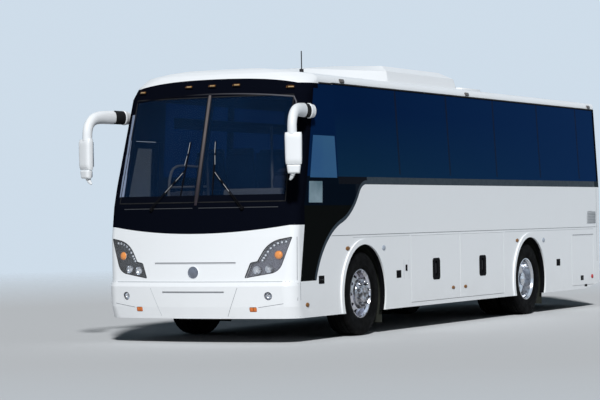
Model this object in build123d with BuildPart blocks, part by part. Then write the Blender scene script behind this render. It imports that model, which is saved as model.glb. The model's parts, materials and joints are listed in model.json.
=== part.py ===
"""Two-axle coach bus of the 35 ft class, built at real size in millimetres.

X points forward, Y to the bus's left and Z up. The origin is on the ground, below the middle
of the overall length with its mirrors. Places along the bus are given ahead of the front axle.
"""
import os
from math import atan2, cos, pi, sin, sqrt

from build123d import *

os.makedirs("parts", exist_ok=True)

# Overall sizes of the body
body_length = 10800
body_half_width = 1265
body_bottom = 293
wheelbase = 5600
front_overhang = 2050
mirror_reach = 130
wall = 60
glass = 8

# Heights of the lines that run round the body
bumper_top = 718
belt = 1238
windscreen_foot = 1616
band_foot = 1855
glass_foot = 1945
glass_head = 3050
roof_edge = 3075
roof_edge_half_width = 1196
crown = 3275
windscreen_head = 2928
floor_top = 1240
floor_depth = 40

# Rounding of the body in plan
plan_radius = 5000
rear_corner_radius = 140

# Wheels and axles
tyre_radius = 515
axle_height = tyre_radius
tyre_width = 295
rim_radius = 298.5
rim_width = 254
front_wheel_y = 1087
rear_outer_y = 1078
rear_inner_y = 738
kingpin_y = 930
kingpin_radius = 22
arch_radius = 604
arch_lip = 62
arch_lip_proud = 20
housing_radius = 650
housing_wall = 8
housing_inner_y = 500

step_heights = (390, 670)

# Doors and flaps
gap = 6
hinge_radius = 4
hinge_clearance = 0.4
flap_depth = 40
door_gap = 10
door_depth = 45

tail_x = -(body_length + mirror_reach - hinge_radius) / 2
nose_x = tail_x + body_length
axle_front_x = nose_x - front_overhang
axle_rear_x = axle_front_x - wheelbase


def ahead(distance):
    """X of a place given ahead of the front axle."""
    return axle_front_x + distance


def half_width(height):
    """Half the body's width at a height: upright to the glass, then leaning in."""
    lean = (body_half_width - roof_edge_half_width) / (roof_edge - band_foot)
    return body_half_width - max(0, height - band_foot) * lean


# Places along the bus, ahead of the front axle
split_ahead = 1592
split_low_ahead = 1718
split_bend = 1385
rear_split = tail_x + rear_corner_radius + 30
screen_lean = 0.301
quarter_rear = 660
pane_seams = (660, -1130, -2760, -4420, -6120, -7780, -8550)
pane_gap = 10
pillar_half = 45
window_foot = 1990
window_head = 2975
flap_top = 1205
flap_foot = 345
luggage_flaps = ((-1415, -3030), (-3030, -4610))
service_flap = (-7370, -8345)
service_top = 1110

split_x = ahead(split_ahead)
split_low_x = ahead(split_low_ahead)
split_top_x = split_x - (roof_edge - windscreen_foot) * screen_lean

# Side outline of the front: height, and how far the nose is set back there
bumper_line = ((body_bottom, 50), (430, 24), (670, 0), (bumper_top, 14))
nose_line = (
    (bumper_top, 40),
    (belt, 80),
    (windscreen_foot, 120),
    (band_foot, 192),
    (windscreen_head, 515),
    (roof_edge, 590),
)
corner_line = (
    # height, radius of the front corners in plan
    (body_bottom, 240),
    (430, 180),
    (bumper_top, 190),
    (belt, 110),
    (windscreen_foot, 150),
    (windscreen_head, 160),
    (roof_edge, 280),
    (roof_edge + 60, 440),
    (roof_edge + 110, 560),
    (roof_edge + 150, 750),
    (crown + 5, 950),
)


def corner_radius(height):
    """The front corners' radius at a height, read between the rows of their table."""
    for (low, low_radius), (high, high_radius) in zip(corner_line, corner_line[1:]):
        if height <= high:
            return low_radius + (high_radius - low_radius) * (height - low) / (high - low)


def body_section(height, set_back, inset):
    """The body's plan outline at a height, moved inwards by an inset."""
    half = half_width(height) - inset
    nose = nose_x - set_back - inset
    bow = plan_radius - inset
    corner = corner_radius(height) - inset
    rear = rear_corner_radius - inset
    tail = tail_x + inset
    bow_centre = nose - bow
    corner_x = bow_centre + sqrt((bow - corner) ** 2 - (half - corner) ** 2)
    turn = atan2(half - corner, corner_x - bow_centre)
    touch_x = bow_centre + bow * cos(turn)
    touch_y = bow * sin(turn)
    middle = (turn + pi / 2) / 2
    corner_mid_x = corner_x + corner * cos(middle)
    corner_mid_y = half - corner + corner * sin(middle)
    rear_mid = rear * (1 - sqrt(0.5))
    with BuildSketch(Plane.XY.offset(height)) as section:
        with BuildLine():
            ThreePointArc((corner_x, half), (corner_mid_x, corner_mid_y), (touch_x, touch_y))
            ThreePointArc((touch_x, touch_y), (nose, 0), (touch_x, -touch_y))
            ThreePointArc((touch_x, -touch_y), (corner_mid_x, -corner_mid_y), (corner_x, -half))
            Line((corner_x, -half), (tail + rear, -half))
            ThreePointArc((tail + rear, -half), (tail + rear_mid, rear_mid - half), (tail, rear - half))
            Line((tail, rear - half), (tail, half - rear))
            ThreePointArc((tail, half - rear), (tail + rear_mid, half - rear_mid), (tail + rear, half))
            Line((tail + rear, half), (corner_x, half))
        make_face()
    return section.sketch


def body_block(line, inset):
    """The solid inside the body's outline along a side line of heights and set-backs."""
    with BuildPart() as block:
        loft([body_section(height, set_back, inset) for height, set_back in line], ruled=True)
    return block.part


def body_shell(line, outer, inner):
    """A shell that follows the body's outline, between two insets."""
    with BuildPart() as shell:
        add(body_block(line, outer))
        add(body_block(line, inner), mode=Mode.SUBTRACT)
    return shell.part


def side_block(points, y_from, y_to):
    """A solid with a side-view outline of (x, z) points, between two values of y."""
    with BuildPart() as block:
        with BuildSketch(Plane.XZ.offset(-y_from)):
            with BuildLine():
                Polyline(*points, close=True)
            make_face()
        extrude(amount=y_from - y_to)
    return block.part


def front_block(points, x_from, x_to):
    """A solid with a front-view outline of (y, z) points, between two values of x."""
    with BuildPart() as block:
        with BuildSketch(Plane.YZ.offset(x_from)):
            with BuildLine():
                Polyline(*points, close=True)
            make_face()
        extrude(amount=x_to - x_from)
    return block.part


def box_between(x, y, z):
    """A box given by its lowest and highest x, y and z."""
    with BuildPart() as block:
        with BuildSketch(Plane.XY.offset(z[0])):
            with Locations(((x[0] + x[1]) / 2, (y[0] + y[1]) / 2)):
                Rectangle(x[1] - x[0], y[1] - y[0])
        extrude(amount=z[1] - z[0])
    return block.part


reach = 200
far_x = nose_x + reach
wide = body_half_width + reach
front_zone_points = (
    (split_low_x, 0),
    (split_low_x, bumper_top),
    (split_x, split_bend),
    (split_x, windscreen_foot),
    (split_top_x, roof_edge),
    (split_top_x, roof_edge + reach),
    (far_x, roof_edge + reach),
    (far_x, 0),
)
front_zone = side_block(front_zone_points, -wide, wide)
rear_zone = box_between((tail_x - reach, rear_split), (-wide, wide), (0, roof_edge))

# Head lamps, front view: the corners of the left lamp's outline, each with its rounding
lamp_corners = (
    # y, z, corner radius
    (1218, 1243, 10),
    (939, 1191, 320),
    (808, 961, 25),
    (725, 947, 40),
    (653, 762, 12),
    (1075, 832, 170),
)
reflectors = (
    # y, z, radius of each round reflector behind the left lens
    (800, 855, 50),
    (945, 872, 48),
    (1055, 1033, 48),
)
reflector_wall = 3
reflector_set_back = 20
lens_depth = 5
bowl_wall = 4
lamp_back = nose_x - 520
fog_y = 954
fog_z = 557
fog_radius = 48
marker_y = 765
marker_z = 401
marker_size = (90, 56)
marker_round = 12


def lamp_blocks(inset):
    """Both head lamps' outlines, shrunk by an inset, as blocks that run along the bus."""
    corners = [(y, z) for y, z, radius in lamp_corners]
    radii = [radius for y, z, radius in lamp_corners]
    with BuildPart() as block:
        with BuildSketch(Plane.YZ.offset(lamp_back)):
            with BuildLine():
                FilletPolyline(*corners, radius=radii, close=True)
            make_face()
            if inset:
                offset(amount=-inset, mode=Mode.REPLACE)
        extrude(amount=far_x - lamp_back)
        mirror(about=Plane.XZ)
    return block.part


def round_cutters(places, less=0):
    """Round bars along the bus at (y, z, radius) places and their mirror images."""
    with BuildPart() as bars:
        with BuildSketch(Plane.YZ.offset(lamp_back)):
            for y, z, radius in places:
                with Locations((y, z), (-y, z)):
                    Circle(radius - less)
        extrude(amount=far_x - lamp_back)
    return bars.part


with BuildPart() as marker_bars:
    with BuildSketch(Plane.YZ.offset(lamp_back)):
        with Locations((marker_y, marker_z), (-marker_y, marker_z)):
            RectangleRounded(*marker_size, marker_round)
    extrude(amount=far_x - lamp_back)
head_lamp_blocks = lamp_blocks(0)
fog_bars = round_cutters(((fog_y, fog_z, fog_radius),))

# Front bumper
bumper_wall = 70
bumper_slot = (415, 593, 613)
bumper_slot_depth = 50
with BuildPart() as front_bumper:
    add(body_shell(bumper_line, 0, bumper_wall))
    add(front_zone, mode=Mode.INTERSECT)
    add(fog_bars, mode=Mode.SUBTRACT)
    add(marker_bars.part, mode=Mode.SUBTRACT)
    add(box_between((nose_x - bumper_slot_depth, far_x), (-bumper_slot[0], bumper_slot[0]),
                    bumper_slot[1:]), mode=Mode.SUBTRACT)
front_bumper.part.label = "front_bumper"
export_step(front_bumper.part, "parts/front_bumper.step")

# White front panel below the windscreen, with the black surround above it
panel_corner_top = 1376
panel_middle_top = 1285
panel_flat = 1180
upper_slot = (545, 930, 952)
upper_slot_depth = 110
boss_height = 835
boss_radius = 70


def panel_zone(x_from, low):
    """The front below the windscreen's black surround, whose lower edge is an arc."""
    with BuildPart() as zone:
        with BuildSketch(Plane.YZ.offset(x_from)):
            with BuildLine():
                Polyline(
                    (-panel_flat, panel_corner_top),
                    (-wide, panel_corner_top),
                    (-wide, low),
                    (wide, low),
                    (wide, panel_corner_top),
                    (panel_flat, panel_corner_top),
                )
                ThreePointArc(
                    (panel_flat, panel_corner_top), (0, panel_middle_top), (-panel_flat, panel_corner_top))
            make_face()
        extrude(amount=far_x - x_from)
    return zone.part


upper_shell = body_shell(nose_line, 0, wall)
front_panel_zone = panel_zone(split_x, bumper_top)
with BuildPart() as front_panel:
    add(upper_shell)
    add(front_zone, mode=Mode.INTERSECT)
    add(front_panel_zone, mode=Mode.INTERSECT)
    add(head_lamp_blocks, mode=Mode.SUBTRACT)
    add(box_between((nose_x - upper_slot_depth, far_x), (-upper_slot[0], upper_slot[0]), upper_slot[1:]),
        mode=Mode.SUBTRACT)
    with BuildSketch(Plane.YZ.offset(nose_x - wall - 20)):
        with Locations((0, boss_height)):
            Circle(boss_radius)
    extrude(amount=40)
front_panel.part.label = "front_panel"
export_step(front_panel.part, "parts/front_panel.step")

# Head lamps: a lens skin on a bowl with round reflectors, which open at the back for the bulbs
with BuildPart() as lamp_cavity:
    add(body_shell(nose_line, lens_depth, wall - bowl_wall))
    add(lamp_blocks(bowl_wall), mode=Mode.INTERSECT)
with BuildPart() as reflector_bars:
    add(body_shell(nose_line, reflector_set_back, wall))
    add(round_cutters(reflectors), mode=Mode.INTERSECT)
with BuildPart() as reflector_bores:
    add(body_shell(nose_line, reflector_set_back, wall + bowl_wall))
    add(round_cutters(reflectors, reflector_wall), mode=Mode.INTERSECT)
with BuildPart() as head_lenses:
    add(upper_shell)
    add(front_zone, mode=Mode.INTERSECT)
    add(front_panel_zone, mode=Mode.INTERSECT)
    add(head_lamp_blocks, mode=Mode.INTERSECT)
    add(lamp_cavity.part, mode=Mode.SUBTRACT)
    add(reflector_bars.part)
    add(reflector_bores.part, mode=Mode.SUBTRACT)
with BuildPart() as fog_lenses:
    add(body_shell(bumper_line, 8, bumper_wall))
    add(front_zone, mode=Mode.INTERSECT)
    add(fog_bars, mode=Mode.INTERSECT)
with BuildPart() as head_lamps:
    add(head_lenses.part)
    add(fog_lenses.part)
head_lamps.part.label = "head_lamps"
export_step(head_lamps.part, "parts/head_lamps.step")

# Windscreen: two panes in a black surround
screen_low = windscreen_foot + 40
screen_high = windscreen_head - 20
screen_side_low = 1120
screen_side_high = 1065
divider_half = 16


def screen_outline(margin):
    """The left pane's outline in front view, grown by a margin."""
    return (
        (divider_half - margin, screen_low - margin),
        (screen_side_low + margin, screen_low - margin),
        (screen_side_high + margin, screen_high + margin),
        (divider_half - margin, screen_high + margin),
    )


screen_back = nose_x - 1000
pane_lap = 25
with BuildPart() as pane_blocks:
    add(front_block(screen_outline(0), screen_back, far_x))
    mirror(about=Plane.XZ)
with BuildPart() as opening_blocks:
    add(front_block(screen_outline(-pane_lap), screen_back, far_x))
    mirror(about=Plane.XZ)

with BuildPart() as windscreen_panes:
    add(body_shell(nose_line, 0, glass))
    add(front_zone, mode=Mode.INTERSECT)
    add(pane_blocks.part, mode=Mode.INTERSECT)
windscreen_panes.part.label = "windscreen_panes"
export_step(windscreen_panes.part, "parts/windscreen_panes.step")

with BuildPart() as windscreen_surround:
    add(upper_shell)
    add(front_zone, mode=Mode.INTERSECT)
    add(panel_zone(split_x - 900, 0), mode=Mode.SUBTRACT)
    add(windscreen_panes.part, mode=Mode.SUBTRACT)
    add(opening_blocks.part, mode=Mode.SUBTRACT)
windscreen_surround.part.label = "windscreen_surround"
export_step(windscreen_surround.part, "parts/windscreen_surround.step")

# Roof, with a rounded edge and a crown, and its front cap
edge_radius_drop = 95
edge_in = 110
roof_wall = 55
roof_cap_depth = 950


def roof_section(x, inset):
    """The roof's cross-section as a closed sketch from edge to edge."""
    edge = roof_edge_half_width - inset
    shoulder_y = roof_edge_half_width - edge_in - inset * 0.6
    shoulder_z = roof_edge + edge_radius_drop - inset * 0.8
    top = crown - inset
    with BuildSketch(Plane.YZ.offset(x)) as section:
        with BuildLine():
            Line((-edge, roof_edge), (edge, roof_edge))
            ThreePointArc(
                (edge, roof_edge),
                (edge - 0.22 * edge_in, roof_edge + 0.66 * (shoulder_z - roof_edge)),
                (shoulder_y, shoulder_z),
            )
            ThreePointArc((shoulder_y, shoulder_z), (0, top), (-shoulder_y, shoulder_z))
            ThreePointArc(
                (-shoulder_y, shoulder_z),
                (0.22 * edge_in - edge, roof_edge + 0.66 * (shoulder_z - roof_edge)),
                (-edge, roof_edge),
            )
        make_face()
    return section.sketch


def roof_bar(x_from, x_to, inset):
    """The roof's section drawn out along the bus."""
    with BuildPart() as bar:
        extrude(roof_section(x_from, inset), amount=x_to - x_from)
    return bar.part


roof_line = (
    (roof_edge, 590),
    (roof_edge + 60, 620),
    (roof_edge + 110, 665),
    (roof_edge + 150, 740),
    (roof_edge + 180, 850),
    (crown + 5, 1150),
)
with BuildPart() as roof:
    add(roof_bar(tail_x, far_x, 0))
    add(body_block(roof_line, 0), mode=Mode.INTERSECT)
    add(roof_bar(tail_x + roof_wall, nose_x - roof_cap_depth, roof_wall), mode=Mode.SUBTRACT)
roof.part.label = "roof"
export_step(roof.part, "parts/roof.step")


# Side walls: thick as the whole wall, with windows, arches and flap openings cut
def wall_bar(x_from, x_to, outer, inner):
    """The left wall's section between two insets, drawn out along the bus."""
    points = (
        (half_width(body_bottom) - outer, body_bottom),
        (half_width(band_foot) - outer, band_foot),
        (half_width(roof_edge) - outer, roof_edge),
        (half_width(roof_edge) - inner, roof_edge),
        (half_width(band_foot) - inner, band_foot),
        (half_width(body_bottom) - inner, body_bottom),
    )
    return front_block(points, x_from, x_to)


def wheel_bar(x, radius, y_from, y_to):
    """A round bar across the bus at an axle."""
    with BuildPart() as bar:
        with BuildSketch(Plane.XZ.offset(-y_from)):
            with Locations((x, axle_height)):
                Circle(radius)
        extrude(amount=y_from - y_to)
    return bar.part


def quarter_block(y_from, y_to):
    """The outline of the black quarter panel below and round the front side window."""
    with BuildPart() as block:
        with BuildSketch(Plane.XZ.offset(-y_from)):
            with BuildLine():
                Polyline(
                    (ahead(-130), band_foot),
                    (ahead(quarter_rear), band_foot),
                    (ahead(quarter_rear), roof_edge),
                    (split_top_x, roof_edge),
                    (split_x, windscreen_foot),
                    (split_x, split_bend),
                    (split_low_x, bumper_top),
                    (ahead(1308), bumper_top),
                )
                ThreePointArc((ahead(1308), bumper_top), (ahead(1054), 1118), (ahead(640), 1376))
                ThreePointArc((ahead(640), 1376), (ahead(285), 1550), (ahead(100), 1745))
                ThreePointArc((ahead(100), 1745), (ahead(10), 1828), (ahead(-130), band_foot))
            make_face()
        extrude(amount=y_from - y_to)
    return block.part


def flap_outline(span, top, foot, margin):
    """A flap's side outline, shrunk by a margin."""
    return (
        (ahead(span[1]) + margin, foot + margin),
        (ahead(span[0]) - margin, foot + margin),
        (ahead(span[0]) - margin, top),
        (ahead(span[1]) + margin, top),
    )


flaps = (
    ("luggage_flap_front", luggage_flaps[0], flap_top),
    ("luggage_flap_rear", luggage_flaps[1], flap_top),
    ("service_flap", service_flap, service_top),
)
hinge_y = body_half_width
inside = body_half_width - 2 * wall


def hinge_bar(span, top, radius):
    """The bead at a flap's top that it turns about."""
    with BuildPart() as bar:
        with BuildSketch(Plane.YZ.offset(ahead(span[1]) + gap)):
            with Locations((hinge_y, top + hinge_radius)):
                Circle(radius)
        extrude(amount=span[0] - span[1] - 2 * gap)
    return bar.part


side_limit = body_block(bumper_line[:-1] + nose_line, 0)


def wall_blank():
    """The whole left wall, before it is split and cut."""
    with BuildPart() as blank:
        add(wall_bar(rear_split, split_low_x, 0, wall))
        add(front_zone, mode=Mode.SUBTRACT)
        add(side_limit, mode=Mode.INTERSECT)
    return blank.part


def pane_block(front, rear, low, high):
    """A block through the left wall, over one pane or window."""
    return box_between((ahead(rear), ahead(front)), (inside, wide), (low, high))


tail_rise = 90
departure_x = ahead(-7950)
departure_points = (
    (departure_x, 0),
    (departure_x, body_bottom),
    (tail_x - 1, body_bottom + tail_rise),
    (tail_x - 1, 0),
)
departure = side_block(departure_points, -wide, wide)


# Belt groove along the side, and the louvres of the side and rear
belt_groove = (1232, 1239)
groove_depth = 6
louvre_x = -8237
louvre_half = 95
louvre_foot = 1320
louvre_top = 1475
louvre_pitch = 30
louvre_slot = 13
louvre_depth = 25


def louvre_slots(foot, top, pitch):
    """The heights of a louvre's slots, evenly spaced up from its foot."""
    return [foot + pitch * step for step in range(int((top - foot) / pitch) + 1)]


def side_wall(side):
    """One side's wall behind the quarter panel, on the left before it is mirrored."""
    with BuildPart() as panel:
        add(wall_blank())
        add(quarter_block(inside, wide), mode=Mode.SUBTRACT)
        for axle_x in (axle_front_x, axle_rear_x):
            add(wheel_bar(axle_x, arch_radius + arch_lip, inside + 60, body_half_width + arch_lip_proud))
        add(box_between((tail_x, far_x), (0, wide), (-reach, body_bottom)), mode=Mode.SUBTRACT)
        for axle_x in (axle_front_x, axle_rear_x):
            add(wheel_bar(axle_x, arch_radius, inside, wide), mode=Mode.SUBTRACT)
        for name, span, top in flaps:
            add(side_block(flap_outline(span, top + hinge_radius + 2, flap_foot, 0), inside, wide),
                mode=Mode.SUBTRACT)
            add(hinge_bar(span, top, hinge_radius))
        with BuildSketch(Plane.YZ.offset(ahead(pane_seams[-1]))):
            with BuildLine():
                Polyline(
                    (wide, glass_foot),
                    (half_width(glass_foot) - glass, glass_foot),
                    (half_width(glass_head) - glass, glass_head),
                    (wide, glass_head),
                    close=True,
                )
            make_face()
        extrude(amount=pane_seams[0] - pane_seams[-1], mode=Mode.SUBTRACT)
        for front, rear in zip(pane_seams[:-1], pane_seams[1:]):
            add(pane_block(front - pillar_half, rear + pillar_half, window_foot, window_head),
                mode=Mode.SUBTRACT)
        add(departure, mode=Mode.SUBTRACT)
        add(box_between((rear_split, split_low_x), (body_half_width - groove_depth, wide), belt_groove),
            mode=Mode.SUBTRACT)
        for low in louvre_slots(louvre_foot, louvre_top, louvre_pitch):
            add(box_between((ahead(louvre_x) - louvre_half, ahead(louvre_x) + louvre_half),
                            (body_half_width - louvre_depth, wide), (low, low + louvre_slot)),
                mode=Mode.SUBTRACT)
        if side < 0:
            add(entrance_block(0), mode=Mode.SUBTRACT)
    return panel.part if side > 0 else mirror(panel.part, about=Plane.XZ)


# Entrance doorway on the right side, ahead of the front wheel, drawn on the left and mirrored
doorway_rear = 735
doorway_front = 1545
doorway_foot = 340
doorway_head = 2430


def doorway_points(margin):
    """The doorway's side outline, shrunk by a margin."""
    head = doorway_head - margin
    front = ahead(doorway_front) - margin
    return (
        (ahead(doorway_rear) + margin, doorway_foot + margin),
        (front, doorway_foot + margin),
        (front, windscreen_foot),
        (front - (head - windscreen_foot) * screen_lean, head),
        (ahead(doorway_rear) + margin, head),
    )


def entrance_block(margin):
    """A block through the left wall that fills the doorway."""
    return side_block(doorway_points(margin), inside, wide)


side_wall_left = side_wall(1)
side_wall_left.label = "side_wall_left"
export_step(side_wall_left, "parts/side_wall_left.step")

side_wall_right = side_wall(-1)
side_wall_right.label = "side_wall_right"
export_step(side_wall_right, "parts/side_wall_right.step")

# Front side window and the small pane below it, in the quarter panel
driver_pane = ((700, 1930), (1422, 1930), (1272, 2430), (700, 2430))
low_pane = ((1130, 1640), (1480, 1640), (1462, 1880), (1118, 1880))


def pane_points(pane, lap):
    """A pane's outline in the bus's frame; a lap leaves the ledge that it sits on."""
    low, high = pane[0][1] + lap, pane[2][1] - lap
    return (
        (ahead(pane[0][0]) + lap, low),
        (ahead(pane[1][0]) - lap, low),
        (ahead(pane[2][0]) - lap, high),
        (ahead(pane[3][0]) + lap, high),
    )


def quarter_panel(side):
    """The black quarter panel, on the left before it is mirrored."""
    with BuildPart() as panel:
        add(wall_blank())
        add(quarter_block(inside, wide), mode=Mode.INTERSECT)
        if side < 0:
            add(entrance_block(0), mode=Mode.SUBTRACT)
        else:
            for pane in (driver_pane, low_pane):
                add(quarter_glass(pane), mode=Mode.SUBTRACT)
                add(side_block(pane_points(pane, pane_lap), inside, wide), mode=Mode.SUBTRACT)
    return panel.part if side > 0 else mirror(panel.part, about=Plane.XZ)


def quarter_glass(pane):
    """A pane flush with the quarter panel."""
    with BuildPart() as sheet:
        add(wall_bar(rear_split, split_x, 0, glass))
        add(side_block(pane_points(pane, 0), inside, wide), mode=Mode.INTERSECT)
    return sheet.part


with BuildPart() as quarter_panels:
    add(quarter_panel(1))
    add(quarter_panel(-1))
quarter_panels.part.label = "quarter_panels"
export_step(quarter_panels.part, "parts/quarter_panels.step")

with BuildPart() as driver_window:
    add(quarter_glass(driver_pane))
    add(quarter_glass(low_pane))
driver_window.part.label = "driver_window"
export_step(driver_window.part, "parts/driver_window.step")


def side_glass():
    """The row of flush panes on the left."""
    with BuildPart() as panes:
        add(wall_bar(rear_split, split_x, 0, glass))
        with BuildSketch(Plane.XZ.offset(-inside)) as outlines:
            for front, rear in zip(pane_seams[:-1], pane_seams[1:]):
                low = ahead(rear) + (pane_gap / 2 if rear != pane_seams[-1] else 0)
                high = ahead(front) - (pane_gap / 2 if front != pane_seams[0] else 0)
                with Locations(((low + high) / 2, (glass_foot + glass_head) / 2)):
                    Rectangle(high - low, glass_head - glass_foot)
        extrude(amount=inside - wide, mode=Mode.INTERSECT)
    return panes.part


# Flaps: top-hinged panels over the luggage bay and the service bay
handle_foot = 655
handle_size = (64, 205)
handle_round = 18
handle_depth = 26


def flap(span, top):
    """One flap on the left, hung just below its hinge bead; a luggage flap has a handle recess."""
    points = flap_outline(span, top - hinge_clearance, flap_foot, gap)
    with BuildPart() as lid:
        add(side_block(points, body_half_width - flap_depth, body_half_width))
        if span in luggage_flaps:
            with BuildSketch(Plane.XZ.offset(-body_half_width)):
                with Locations((ahead((span[0] + span[1]) / 2), handle_foot + handle_size[1] / 2)):
                    RectangleRounded(*handle_size, handle_round)
            extrude(amount=handle_depth, mode=Mode.SUBTRACT)
    return lid.part


for name, span, top in flaps:
    left_flap = flap(span, top)
    left_flap.label = name + "_left"
    export_step(left_flap, "parts/" + name + "_left.step")
    right_flap = mirror(flap(span, top), about=Plane.XZ)
    right_flap.label = name + "_right"
    export_step(right_flap, "parts/" + name + "_right.step")

# Rear wall, bumper, window and engine door
rear_window_half = 1000
rear_window_foot = 1990
rear_window_head = 2900
engine_door_half = 930
engine_door_foot = 640
engine_door_top = 1760
rear_bumper_top = 620
grille_foot = 1120
grille_top = 1660
grille_pitch = 45
grille_slot = 20
grille_inner = 60
grille_width = 700
rear_line = ((body_bottom, 0), (band_foot, 0), (roof_edge, 0))
tail_lamp_y = (1000, 1180)
tail_lamp_z = (1000, 1560)
rear_shell = body_shell(rear_line, 0, wall)
rear_glass_block = box_between(
    (tail_x - 1, tail_x + glass),
    (-rear_window_half, rear_window_half),
    (rear_window_foot, rear_window_head),
)
tail_lamp_points = (
    (tail_lamp_y[0], tail_lamp_z[0]),
    (tail_lamp_y[1], tail_lamp_z[0]),
    (tail_lamp_y[1], tail_lamp_z[1]),
    (tail_lamp_y[0], tail_lamp_z[1]),
)
tail_lamp_depth = 40
with BuildPart() as tail_lamp_blocks:
    add(front_block(tail_lamp_points, tail_x - 20, tail_x + tail_lamp_depth))
    mirror(about=Plane.XZ)

with BuildPart() as rear_wall:
    add(rear_shell)
    add(rear_zone, mode=Mode.INTERSECT)
    add(box_between((tail_x - 1, rear_split), (-wide, wide), (0, rear_bumper_top)), mode=Mode.SUBTRACT)
    add(box_between((tail_x - 1, tail_x + wall + 1), (-engine_door_half, engine_door_half),
                    (engine_door_foot, engine_door_top + hinge_radius + 2)), mode=Mode.SUBTRACT)
    add(box_between((tail_x - 1, tail_x + wall + 1),
                    (pane_lap - rear_window_half, rear_window_half - pane_lap),
                    (rear_window_foot + pane_lap, rear_window_head - pane_lap)), mode=Mode.SUBTRACT)
    add(rear_glass_block, mode=Mode.SUBTRACT)
    add(tail_lamp_blocks.part, mode=Mode.SUBTRACT)
    with BuildSketch(Plane.XZ.offset(engine_door_half - gap)):
        with Locations((tail_x, engine_door_top + hinge_radius)):
            Circle(hinge_radius)
    extrude(amount=-2 * (engine_door_half - gap))
rear_wall.part.label = "rear_wall"
export_step(rear_wall.part, "parts/rear_wall.step")

with BuildPart() as rear_pane:
    add(body_shell(rear_line, 0, glass))
    add(rear_glass_block, mode=Mode.INTERSECT)
with BuildPart() as window_glass:
    add(side_glass())
    mirror(about=Plane.XZ)
    add(rear_pane.part)
window_glass.part.label = "window_glass"
export_step(window_glass.part, "parts/window_glass.step")

with BuildPart() as tail_lamps:
    add(body_block(rear_line, 0))
    add(tail_lamp_blocks.part, mode=Mode.INTERSECT)
tail_lamps.part.label = "tail_lamps"
export_step(tail_lamps.part, "parts/tail_lamps.step")

with BuildPart() as rear_bumper:
    add(rear_shell)
    add(box_between((tail_x - 1, rear_split), (-wide, wide), (0, rear_bumper_top)), mode=Mode.INTERSECT)
    add(departure, mode=Mode.SUBTRACT)
rear_bumper.part.label = "rear_bumper"
export_step(rear_bumper.part, "parts/rear_bumper.step")

with BuildPart() as engine_door:
    add(box_between((tail_x, tail_x + flap_depth), (gap - engine_door_half, engine_door_half - gap),
                    (engine_door_foot + gap, engine_door_top - hinge_clearance)))
    for low in louvre_slots(grille_foot, grille_top, grille_pitch):
        for inner in (grille_inner, -grille_inner - grille_width):
            add(box_between((tail_x - 1, tail_x + flap_depth + 1), (inner, inner + grille_width),
                            (low, low + grille_slot)), mode=Mode.SUBTRACT)
engine_door.part.label = "engine_door"
export_step(engine_door.part, "parts/engine_door.step")

# Entrance door on its swinging arm: the arm turns about a pillar, the door stays parallel
pillar_y = -1120
pillar_x = ahead(1400)
pillar_radius = 20
arm_length = 430
arm_heights = (760, 1560)
arm_depth = 30
door_pivot_x = pillar_x - arm_length
door_half_pin = 14
pin_clearance = 0.4
door_outer = half_width(body_bottom)
door_inner = door_outer - door_depth
door_frame = 95
door_low_pane = (900, 1490)
door_high_pane = (1630, doorway_head - 90)


def door_slab(outer, inner):
    """A sheet that follows the wall's outer face inside the doorway, between two insets."""
    with BuildPart() as slab:
        add(wall_bar(rear_split, split_x, outer, inner))
        add(entrance_block(door_gap), mode=Mode.INTERSECT)
    return slab.part


def door_pane_blocks():
    """Blocks through the door's two panes, below and above its middle rail."""
    rear = ahead(doorway_rear) + door_frame
    front = ahead(doorway_front) - door_frame
    with BuildPart() as blocks:
        add(box_between((rear, front), (inside, wide), door_low_pane))
        low, high = door_high_pane
        slant = (
            (rear, low),
            (front - (low - windscreen_foot) * screen_lean, low),
            (front - (high - windscreen_foot) * screen_lean, high),
            (rear, high),
        )
        add(side_block(slant, inside, wide))
    return blocks.part


with BuildPart() as door_half:
    add(door_slab(0, door_depth))
    add(door_pane_blocks(), mode=Mode.SUBTRACT)
with BuildPart() as entrance_door:
    add(mirror(door_half.part, about=Plane.XZ))
    for height in arm_heights:
        for rise in (-arm_depth, arm_depth):
            with BuildSketch(Plane.XY.offset(height + rise - arm_depth / 2 + 2)):
                with Locations((door_pivot_x, (pillar_y - door_inner) / 2)):
                    Rectangle(56, door_inner + pillar_y)
                with Locations((door_pivot_x, pillar_y)):
                    Circle(28)
            extrude(amount=arm_depth - 4)
        with BuildSketch(Plane.XY.offset(height - 1.5 * arm_depth + 2)):
            with Locations((door_pivot_x, pillar_y)):
                Circle(door_half_pin)
        extrude(amount=3 * arm_depth - 4)
entrance_door.part.label = "entrance_door"
export_step(entrance_door.part, "parts/entrance_door.step")

with BuildPart() as door_pane:
    add(door_slab(8, door_depth - 12))
    add(door_pane_blocks(), mode=Mode.INTERSECT)
door_glass = mirror(door_pane.part, about=Plane.XZ)
door_glass.label = "entrance_door_glass"
export_step(door_glass, "parts/entrance_door_glass.step")

with BuildPart() as door_arm:
    with BuildSketch(Plane.XY.offset(step_heights[0] + hinge_clearance)):
        with Locations((pillar_x, pillar_y)):
            Circle(pillar_radius)
    extrude(amount=arm_heights[1] + 60 - step_heights[0])
    for height in arm_heights:
        with BuildSketch(Plane.XY.offset(height - arm_depth / 2 + 2)) as arm_outline:
            with Locations((pillar_x, pillar_y)):
                Circle(32)
            with Locations((door_pivot_x, pillar_y)):
                Circle(28)
            with Locations(((pillar_x + door_pivot_x) / 2, pillar_y)):
                Rectangle(arm_length, 40)
            with Locations((door_pivot_x, pillar_y)):
                Circle(door_half_pin + pin_clearance, mode=Mode.SUBTRACT)
        extrude(amount=arm_depth - 4)
door_arm.part.label = "door_arm"
export_step(door_arm.part, "parts/door_arm.step")

# Floor: the deck, the driver's platform and the steps up from the entrance
floor_half = body_half_width - wall
deck_front = 660
platform_top = 950
step_edges = (-780, -480)
stair_front = 1560


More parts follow.
